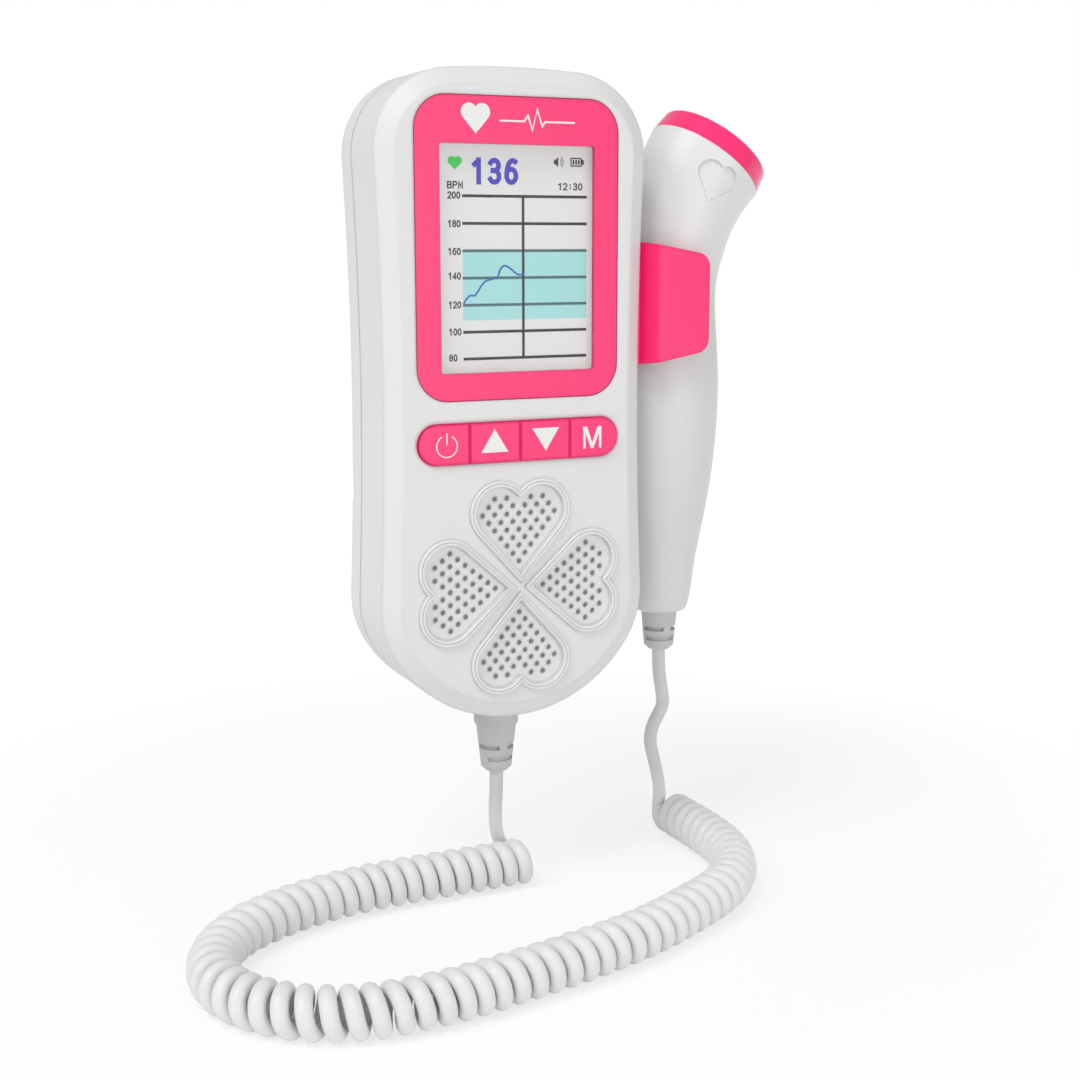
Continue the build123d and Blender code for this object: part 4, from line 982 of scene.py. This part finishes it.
@dataclass
class Keypad:
    """The four keys, their legends, and the crimson trim in the gaps round them, whose deep tint is painted groove
    shade. Millimetres.
    """

    shop: Workshop
    cap_front: float = -29.8
    gap_back: float = -27.2
    pitch: float = 12.65
    rib: float = 0.24
    rib_span: Spot = (-13.1, -4.0)
    rib_rise: float = 2.4
    row_z: float = -8.555
    liner_end: float = 20.6
    liner_reach: float = 4.77
    liner_width: float = 0.32
    liner_rise: float = 1.74
    ink: float = 0.03
    ink_sunk: float = 0.02
    stroke: float = 0.26
    power: Spot = (-18.39, -8.85)
    power_radius: float = 2.5
    power_arc: Spot = (118.0, 422.0)
    power_bar: Spot = (0.3, 3.0)
    up: tuple[Spot, ...] = ((-10.0, -10.8), (-3.25, -10.8), (-6.6, -5.45))
    down: tuple[Spot, ...] = ((2.85, -5.75), (6.3, -11.1), (9.7, -5.75))
    mode: Spot = (15.95, -11.15)
    mode_size: Spot = (4.8, 5.15)
    mode_stem: float = 0.64
    mode_top: float = 1.05
    mode_foot: float = 0.36
    mode_notch: float = 1.3
    mode_shoulder: float = 1.5

    def power_mark(self) -> list[Outline]:
        """A broken ring with an upright bar in its gap.

        Returns:
            Both outlines.
        """
        x, z = self.power
        ring = arc_line(self.power, (self.power_radius, self.power_radius), *self.power_arc, steps=40)
        bar = [(x, z + end) for end in self.power_bar]
        return [band_outline(ring, self.stroke), band_outline(bar, self.stroke)]

    def mode_mark(self) -> list[Outline]:
        """A capital M.

        Returns:
            Its outline.
        """
        wide, high = self.mode_size
        stem, middle, shoulder = self.mode_stem, wide / 2, high - self.mode_shoulder
        foot = [(0, 0), (stem, 0), (stem, shoulder), (middle - self.mode_foot, 0)]
        foot += [(wide - x, z) for x, z in reversed(foot)]
        top = [(wide, high), (wide - self.mode_top, high), (middle, self.mode_notch), (self.mode_top, high), (0, high)]
        return [[(self.mode[0] + x, self.mode[1] + z) for x, z in foot + top]]

    def ribs(self) -> None:
        """Thin ribs that stand in the gaps between the keys, deep crimson as painted groove shade."""
        low, high = self.rib_span
        half = self.rib / 2
        outlines = [box_outline((x - half, low), (x + half, high)) for x in (-self.pitch, 0.0, self.pitch)]
        ribs = self.shop.plates("key_ribs", outlines, self.gap_back, self.rib_rise)
        self.shop.place(ribs, GROOVE_SHADE_RIB, "unit", "accent_plastic")

    def liner(self) -> None:
        """A thin liner round the row of keys, in the gap between them and the case, deep crimson as painted groove
        shade.
        """
        top, foot = self.row_z + self.liner_reach, self.row_z - self.liner_reach
        halves = []
        for side in (1, -1):
            reach = (side * self.liner_reach, self.liner_reach)
            end = arc_line((side * self.liner_end, self.row_z), reach, 90, -90, 20)
            halves.append(band_outline([(0.0, top), *end, (0.0, foot)], self.liner_width))
        liner = self.shop.plates("key_liner", halves, self.gap_back, self.liner_rise)
        self.shop.place(liner, GROOVE_SHADE_RIB, "unit", "accent_plastic")

    def build(self) -> None:
        """Dresses the keys and prints their legends."""
        self.ribs()
        self.liner()
        marks = {"power": self.power_mark(), "up": [self.up], "down": [self.down], "mode": self.mode_mark()}
        for key, outlines in marks.items():
            self.shop.dress(PINK_KEYS, f"button_{key}")
            self.shop.dress(PALE_MOULDING, f"plunger_{key}")
            back = self.cap_front + self.ink_sunk
            legend = self.shop.plates(f"legend_{key}", outlines, back, self.ink + self.ink_sunk)
            self.shop.place(legend, WHITE_INK, f"{key}_key", "case_plastic")


@dataclass
class Display:
    """The bezel, its window and what the display shows. Millimetres."""

    shop: Workshop
    glass_back: float = -26.45
    layer: float = 0.02
    left: float = -12.8
    right: float = 18.3
    top_rule: float = 46.84
    rule_step: float = 6.062
    rule: float = 0.64
    rows: int = 7
    band_rows: tuple[int, ...] = (2, 3, 4)
    band_foot: float = 19.17
    top_number: int = 200
    number_step: int = 20
    number_x: float = -15.82
    number_lifts: tuple[float, ...] = (0.12, -0.08, -0.12, 0.50, 0.12, 0.12, 0.34)
    cursor_x: float = 2.14
    trace_width: float = 0.38
    trace: tuple[Spot, ...] = (
        *((-12.7, 22.9), (-11.9, 24.0), (-11.1, 24.72), (-9.95, 24.72), (-9.3, 25.4), (-8.6, 26.45), (-7.85, 27.4)),
        *((-7.1, 28.0), (-5.4, 28.42), (-4.5, 28.65), (-4.05, 29.3), (-3.65, 30.4), (-3.1, 31.1), (-2.45, 31.35)),
        *((-1.6, 31.05), (-0.6, 30.35), (0.3, 29.65), (1.1, 29.3), (2.4, 29.45)),
    )
    words: tuple[Entry, ...] = (
        Entry("BPM", (-14.45, 49.2), height=1.40, wide=0.88, step=1.32, stroke=0.31),
        Entry("12:30", (14.05, 49.15), height=1.40, wide=0.86, step=1.28, stroke=0.30),
    )
    rate: Entry = Entry("136", (-4.80, 52.3), height=4.80, wide=2.30, step=4.06, stroke=1.14)
    pulse: Spot = (-14.45, 54.0)
    pulse_size: Spot = (3.45, 2.95)
    speaker: Spot = (10.75, 54.62)
    speaker_half: tuple[Spot, ...] = ((-0.85, 0.5), (-0.4, 0.5), (0.25, 1.15))
    waves: Spot = (0.75, 1.25)
    wave_width: float = 0.17
    wave_height: float = 1.15
    gauge: tuple[Spot, Spot] = ((14.1, 53.65), (17.0, 55.65))
    gauge_wall: float = 0.3
    gauge_tip: tuple[Spot, Spot] = ((17.0, 54.1), (17.5, 55.2))
    bar_gap: Spot = (0.55, 0.5)
    bar_pitch: float = 0.68
    bar_width: float = 0.46
    bezel_corner: float = 7.5
    joint: float = 0.1
    joint_line: float = 0.24
    joint_back: float = -28.9
    joint_rise: float = 0.115
    emblem_back: float = -28.99
    emblem_ink: float = 0.04
    emblem_heart: Spot = (-10.4, 63.55)
    emblem_size: Spot = (7.0, 6.6)
    beat_width: float = 0.42
    beat: tuple[Spot, ...] = (
        *((-4.6, 63.2), (1.4, 63.2), (2.3, 64.5), (3.4, 61.3), (4.6, 65.9), (5.8, 62.2), (6.6, 63.2), (14.0, 63.2)),
    )

    def sheet(self, name: str, outlines: Iterable[Outline], ink: ScreenTone, level: int) -> None:
        """One layer of flat colour on the display.

        Args:
            name: The piece's name.
            outlines: What it covers.
            ink: Its colour.
            level: How many layers lie under it.
        """
        back = self.glass_back - level * self.layer
        layer = self.shop.plates(name, outlines, back, self.layer, self.layer / 6)
        self.shop.place(layer, ink.value, "unit", "display_glass")

    def row_level(self, row: int) -> float:
        """Height of one of the chart's rules, the top one being row 0."""
        return self.top_rule - row * self.rule_step

    def chart(self) -> None:
        """The chart: its pale band, rules, cursor and curve."""
        side = self.rule / 2
        band = box_outline((self.left, self.band_foot), (self.right, self.row_level(self.band_rows[0])))
        self.sheet("screen_band", [band], ScreenTone.BAND, 1)
        rules: dict[bool, list[Outline]] = {False: [], True: []}
        for row in range(self.rows):
            level = self.row_level(row)
            rules[row in self.band_rows].append(box_outline((self.left, level - side), (self.right, level + side)))
        self.sheet("screen_rules", rules[False], ScreenTone.RULE, 2)
        self.sheet("screen_band_rules", rules[True], ScreenTone.BAND_RULE, 2)
        foot = self.row_level(self.rows - 1)
        cursor = box_outline((self.cursor_x - side, foot), (self.cursor_x + side, self.top_rule))
        self.sheet("screen_cursor", [cursor], ScreenTone.RULE, 3)
        self.sheet("screen_trace", [band_outline(smooth_line(self.trace), self.trace_width)], ScreenTone.TRACE, 4)

    def figures(self) -> None:
        """The scale's numbers, the rate, and the small words above the chart."""
        entries = [*self.words]
        for row, lift in enumerate(self.number_lifts):
            number = str(self.top_number - self.number_step * row)
            middle = self.number_x + Entry.step / 2 * (len(number) - 1)
            entries.append(Entry(number, (middle, self.row_level(row) + lift)))
        self.sheet("screen_figures", [line for entry in entries for line in entry.outlines()], ScreenTone.FIGURE, 2)
        self.sheet("screen_rate", self.rate.outlines(), ScreenTone.RATE, 2)
        self.sheet("screen_heart", [small_heart(*self.pulse_size, self.pulse)], ScreenTone.HEART, 2)

    def signs(self) -> None:
        """A small loudspeaker and a battery gauge."""
        x, z = self.speaker
        below = [(x + side, z - rise) for side, rise in self.speaker_half]
        above = [(x + side, z + rise) for side, rise in reversed(self.speaker_half)]
        mouth = (below[-1][0], z)
        arcs = [arc_line(mouth, (reach, reach * self.wave_height), -50, 50, 8) for reach in self.waves]
        (left, low), (right, high) = self.gauge
        wall = self.gauge_wall
        gauge = [
            box_outline((left, low), (right, low + wall)),
            box_outline((left, high - wall), (right, high)),
            box_outline((left, low + wall), (left + wall, high - wall)),
            box_outline((right - wall, low + wall), (right, high - wall)),
            box_outline(*self.gauge_tip),
        ]
        across, up = self.bar_gap
        for start in (left + across + index * self.bar_pitch for index in range(3)):
            gauge.append(box_outline((start, low + up), (start + self.bar_width, high - up)))
        waves = [band_outline(arc, self.wave_width) for arc in arcs]
        self.sheet("screen_signs", [below + above, *waves, *gauge], ScreenTone.FIGURE, 2)

    def outline(self) -> None:
        """A thin dark line in the joint round the bezel."""
        (left, low), (right, high) = front_of("display_bezel")
        half = self.joint / 2
        reach = self.bezel_corner + half
        top, foot = high + half, low - half
        halves = []
        for side in (1, -1):
            edge = side * ((right - left) / 2 + half - reach)
            upper = arc_line((edge, top - reach), (side * reach, reach), 90, 0, 10)
            lower = arc_line((edge, foot + reach), (side * reach, reach), 0, -90, 10)
            halves.append(band_outline([(0.0, top), *upper, *lower, (0.0, foot)], self.joint_line))
        line = self.shop.plates("bezel_joint", halves, self.joint_back, self.joint_rise)
        self.shop.place(line, DARK_CRIMSON, "unit", "accent_plastic")

    def emblem(self) -> None:
        """A plain heart and a beat line, printed on the bezel above the window."""
        outlines = [small_heart(*self.emblem_size, self.emblem_heart), band_outline(self.beat, self.beat_width)]
        prints = self.shop.plates("bezel_emblem", outlines, self.emblem_back, self.emblem_ink)
        self.shop.place(prints, WHITE_INK, "unit", "case_plastic")

    def build(self) -> None:
        """Dresses the display's pieces and draws what it shows."""
        self.shop.dress(PINK_TRIM, "display_bezel")
        self.shop.dress(LENS, "display_window")
        self.shop.dress(PANEL_BORDER, "display_module")
        self.sheet("screen_paper", [box_outline(*front_of("display_window"))], ScreenTone.PAPER, 0)
        self.chart()
        self.figures()
        self.signs()
        self.outline()
        self.emblem()


@dataclass
class Probe:
    """The probe that parks in the clip."""

    shop: Workshop

    def build(self) -> None:
        """Dresses the probe's pieces."""
        self.shop.dress(WHITE_PROBE, "probe_front_shell", "probe_rear_shell")
        self.shop.dress(PINK_RING, "probe_ring")
        self.shop.dress(PROBE_FACE, "probe_face")
        self.shop.dress(GREY_RELIEF, "probe_strain_relief")
        self.shop.dress(SCREW_METAL, "probe_screws")
        self.shop.dress(GREEN_LACQUER, "probe_board")
        self.shop.dress(PIEZO, "piezo_discs")
        self.shop.dress(BACKING, "backing_block")


@dataclass
class Inside:
    """What sits inside the unit."""

    shop: Workshop

    def build(self) -> None:
        """Dresses the pieces inside the unit."""
        chips = ("processor_chip", "amplifier_chip")
        self.shop.dress(DARK_MOULDING, "display_socket", "tact_switches", "headphone_jack", *chips)
        self.shop.dress(PALE_MOULDING, "display_holder", "cable_plug")
        self.shop.dress(RIBBON_FILM, "display_ribbon")
        self.shop.dress(PALE_JACKET, "inner_cable")
        self.shop.dress(GREEN_LACQUER, "main_board")
        self.shop.dress(SCREW_METAL, "board_screws")
        self.shop.dress(CAN_METAL, "capacitors")
        self.shop.dress(SPEAKER_FOAM, "speaker_gasket")
        self.shop.dress(BASKET_PAINT, "speaker_frame")
        self.shop.dress(MAGNET_PLATE, "speaker_magnet")
        self.shop.dress(GREY_CONE, "speaker_cone")
        self.shop.dress(CELL_SLEEVE, "battery_cells")
        self.shop.dress(NICKEL_PLATE, "battery_contacts", "battery_springs")


@dataclass
class Route:
    """A line that is followed by the distance along it. Millimetres."""

    points: list[Vector]
    bend_runs: int = 12
    shortest: float = 0.1
    reached: list[float] = field(default_factory=lambda: [0.0])

    def __post_init__(self) -> None:
        """Adds up how far along each point lies."""
        for run in run_lengths(self.points):
            self.reached.append(self.reached[-1] + run)

    def ahead(self, run: int) -> Vector:
        """The direction of one run."""
        return (self.points[run + 1] - self.points[run]).normalized()

    def at(self, along: float) -> tuple[Vector, Vector, float]:
        """Follows the line.

        Args:
            along: The distance from its start.

        Returns:
            The point there, the direction there, and how much the line bends from there on, per millimetre.
        """
        last = len(self.points) - 2
        run = next((number for number in range(last) if self.reached[number + 1] >= along), last)
        share = (along - self.reached[run]) / (self.reached[run + 1] - self.reached[run])
        further = min(run + self.bend_runs, last)
        length = max(self.reached[further] - self.reached[run], self.shortest)
        bend = self.ahead(run).angle(self.ahead(further)) / length
        return self.points[run].lerp(self.points[run + 1], share), self.ahead(run), bend


@dataclass
class CurlyCord:
    """One cord from the unit's strain relief, through its curls on the floor, to the probe's. Millimetres."""

    shop: Workshop
    wire: float = 3.4
    curl_wire: float = 3.85
    coil: float = 11.5
    coil_z: float = -115.82
    turn_points: int = 16
    first_turn: float = 0.675 * FULL_TURN
    touching: float = 0.98
    end_gap: float = 0.2
    unit_tail: tuple[Place, ...] = (
        *((0.0, -14.0, -92.15), (0.0, -14.0, -97.35), (-0.1, -13.4, -102.0), (0.4, -12.2, -107.0)),
        *((1.6, -10.8, -111.2), (3.4, -10.1, -114.8), (5.5, -10.8, -117.8), (6.1, -13.5, -119.4)),
    )
    curl_path: tuple[Spot, ...] = (
        *((5.6, -17.8), (-10.8, -18.0), (-28.0, -17.5), (-44.8, -19.0), (-60.0, -23.9), (-72.9, -31.7)),
        *((-80.5, -44.6), (-80.4, -58.8), (-72.0, -71.7), (-58.6, -79.0), (-41.8, -80.1), (-24.3, -77.6)),
        *((-5.9, -73.9), (12.8, -69.0), (29.0, -61.4), (43.8, -53.4), (54.4, -39.8), (57.6, -21.5), (56.4, 0.6)),
    )
    probe_tail: tuple[Place, ...] = (
        *((53.2, -1.6, -113.0), (52.57, -3.2, -108.5), (50.69, -5.0, -103.0), (48.41, -6.6, -97.5)),
        *((46.54, -8.0, -92.0), (47.31, -9.0, -87.4), (49.63, -10.0, -83.0), (48.35, -11.0, -78.0)),
        *((47.05, -11.5, -72.3), (47.05, -11.5, -66.5)),
    )
    pitches: tuple[Spot, ...] = (
        *((0.0, 3.9), (0.02, 4.15), (0.14, 4.3), (0.19, 4.25), (0.23, 4.55), (0.30, 4.5), (0.40, 4.5), (0.415, 4.7)),
        *((0.45, 4.5), (0.52, 4.4), (0.54, 4.1), (0.57, 4.52), (0.77, 4.52), (0.81, 4.0), (1.0, 3.9)),
    )

    def route(self) -> Route:
        """Reads the curls' middle line from its smooth spline.

        Returns:
            The line.
        """
        holder = smooth_curve("curl_route", [(x, y, self.coil_z) for x, y in self.curl_path], resolution=40)
        points = read_line(holder)
        bpy.data.objects.remove(holder)
        return Route(points)

    def pitch_at(self, share: float) -> float:
        """How far apart the turns lie.

        Args:
            share: How far along the curls, 0 to 1.

        Returns:
            The distance from turn to turn there.
        """
        for (low, low_pitch), (high, high_pitch) in zip(self.pitches, self.pitches[1:]):
            if share <= high:
                return low_pitch + (high_pitch - low_pitch) * (share - low) / (high - low)
        return self.pitches[-1][1]

    def helix(self) -> list[Vector]:
        """Winds the curls round the route, up to the last whole turn.

        Returns:
            The curls' points.
        """
        route = self.route()
        total = route.reached[-1]
        step = FULL_TURN / self.turn_points
        coil_radius = (self.coil - self.curl_wire) / 2
        radius = coil_radius / (0.75 + 0.25 * math.cos(step))  # the spline runs inside its control points
        up = Vector((0.0, 0.0, 1.0))
        angle = self.first_turn
        along = 0.0
        last = 0
        points = []
        while along < total - self.end_gap:
            middle, ahead, bend = route.at(along)
            points.append(middle + radius * (up.cross(ahead) * math.cos(angle) + up * math.sin(angle)))
            if angle % FULL_TURN < step:
                last = len(points)
            tight = self.touching * self.curl_wire / (1 - bend * coil_radius)
            along += max(self.pitch_at(along / total), tight) / self.turn_points
            angle += step
        return points[:last]

    def build(self) -> None:
        curls = self.helix()
        points = [Vector(point) for point in self.unit_tail] + curls + [Vector(point) for point in self.probe_tail]
        cord = smooth_curve("cord", [point * MM for point in points], resolution=3)
        first = len(self.unit_tail)
        for place in cord.data.splines[0].points[first : first + len(curls)]:
            place.radius = self.curl_wire / self.wire
        length = sum(run_lengths(read_line(cord)))
        cord.data.bevel_depth = self.wire / 2 * MM
        cord.data.bevel_resolution = 4
        cord.data.use_fill_caps = True
        self.shop.place(cord, PALE_JACKET, "unit", "cord_rubber")
        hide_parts("cord_unit_tail", "cord_curl", "cord_probe_tail")
        tuple(part * MM for part in self.unit_tail[0])
        log.info("cord of %.3f m with %d turns", length, len(curls) / self.turn_points)


# Studio.


@dataclass(frozen=True)
class Lamp:
    """A square soft lamp. Metres and watts."""

    name: str
    place: Place
    target: Place
    size: float
    power: float

    def build(self) -> None:
        """Hangs the lamp and points it."""
        data = bpy.data.lights.new(self.name, "AREA")
        data.shape = "SQUARE"
        data.size = self.size
        data.energy = self.power
        lamp = put(self.name, data)
        lamp.location = self.place
        lamp.rotation_euler = (Vector(self.place) - Vector(self.target)).to_track_quat("Z", "Y").to_euler()


@dataclass
class Studio:
    """The floor, the lights and the camera. Metres and radians, but the lens and its sensor in millimetres."""

    floor_z: float = -0.12165
    floor_reach: float = 6.0
    floor_tint: Tint = (0.96, 0.96, 0.96)
    floor_roughness: float = 0.7
    floor_glow: float = 1.05
    shadow_range: Spot = (0.10, 0.30)
    shadow_share: float = 0.34
    sky_light: float = 0.56
    eye: Place = (-0.15210, -0.36865, 0.03613)
    sensor: float = 36.0
    lens: float = 53.907
    nearest: float = 0.01
    turn: float = 0.43354
    dip: float = 0.180814
    roll: float = -0.001333
    lamps: tuple[Lamp, ...] = (
        Lamp("key", (-1.25, -0.30, 1.05), (0.0, 0.0, 0.0), 0.5, 5.0),
        Lamp("fill", (0.15, -1.25, -0.15), (0.0, 0.0, -0.05), 0.8, 5.9),
        Lamp("top", (-0.64, -0.52, 1.22), (0.0, 0.0, 0.0), 0.35, 5.3),
    )

    def camera(self) -> None:
        """Sets the camera."""
        data = bpy.data.cameras.new("camera")
        data.sensor_width = self.sensor
        data.lens = self.lens
        data.clip_start = self.nearest
        level = math.cos(self.dip)
        ahead = Vector((math.sin(self.turn) * level, math.cos(self.turn) * level, -math.sin(self.dip)))
        right = Vector((math.cos(self.turn), -math.sin(self.turn), 0.0))
        up = right.cross(ahead)
        right_rolled = right * math.cos(self.roll) + up * math.sin(self.roll)
        up_rolled = up * math.cos(self.roll) - right * math.sin(self.roll)
        pose = Matrix((right_rolled, up_rolled, -ahead)).transposed().to_4x4()
        pose.translation = Vector(self.eye)
        camera = put("camera", data)
        camera.matrix_world = pose
        bpy.context.scene.camera = camera

    def floor(self) -> None:
        """A wide pale floor that shows white, and keeps the object's shadow near it."""
        graph = Graph(bpy.data.materials.new("floor_paint"))
        paint = graph.surface({"Base Color": self.floor_tint, "Roughness": self.floor_roughness})
        white = graph.node("ShaderNodeEmission", {}, {"Color": WHITE, "Strength": self.floor_glow})
        far = graph.where().reach().ramp(*self.shadow_range) * self.shadow_share + (1 - self.shadow_share)
        seen = graph.ray("Camera", "Glossy", "Transmission")
        material = graph.close(graph.node("ShaderNodeMixShader", {}, {0: seen * far, 1: paint, 2: white}))
        mesh = bpy.data.meshes.new("floor")
        reach = self.floor_reach
        mesh.from_pydata([(x, y, 0) for x, y in box_outline((-reach, -reach), (reach, reach))], [], [(0, 1, 2, 3)])
        mesh.materials.append(material)
        floor = put("floor", mesh)
        floor.location.z = self.floor_z

    def sky(self) -> None:
        """Even light from all round, shown as white."""
        graph = Graph(bpy.data.worlds.new("studio"))
        light, white = (
            graph.node("ShaderNodeBackground", {}, {"Color": WHITE, "Strength": strength})
            for strength in (self.sky_light, 1.0)
        )
        shown = graph.node("ShaderNodeMixShader", {}, {0: graph.ray("Camera", "Transmission"), 1: light, 2: white})
        bpy.context.scene.world = graph.close(shown, "ShaderNodeOutputWorld")

    def build(self) -> None:
        """Sets everything up."""
        bpy.context.scene.view_settings.view_transform = "Standard"
        self.camera()
        self.floor()
        self.sky()
        for lamp in self.lamps:
            lamp.build()


def main(nodes: Mapping[str, Object]) -> None:
    """Builds the studio, then each sub-assembly in order.

    Args:
        nodes: The CAD nodes' objects, by name.
    """
    logging.basicConfig(level=logging.INFO, format="%(name)s: %(message)s")
    shop = Workshop(nodes)
    for part in (Studio(), CurlyCord(shop), Case(shop), Display(shop), Keypad(shop), Probe(shop), Inside(shop)):
        part.build()
        log.info("%s is ready", type(part).__name__)


if __name__ == "__main__":
    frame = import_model()
    main(frame["nodes"])
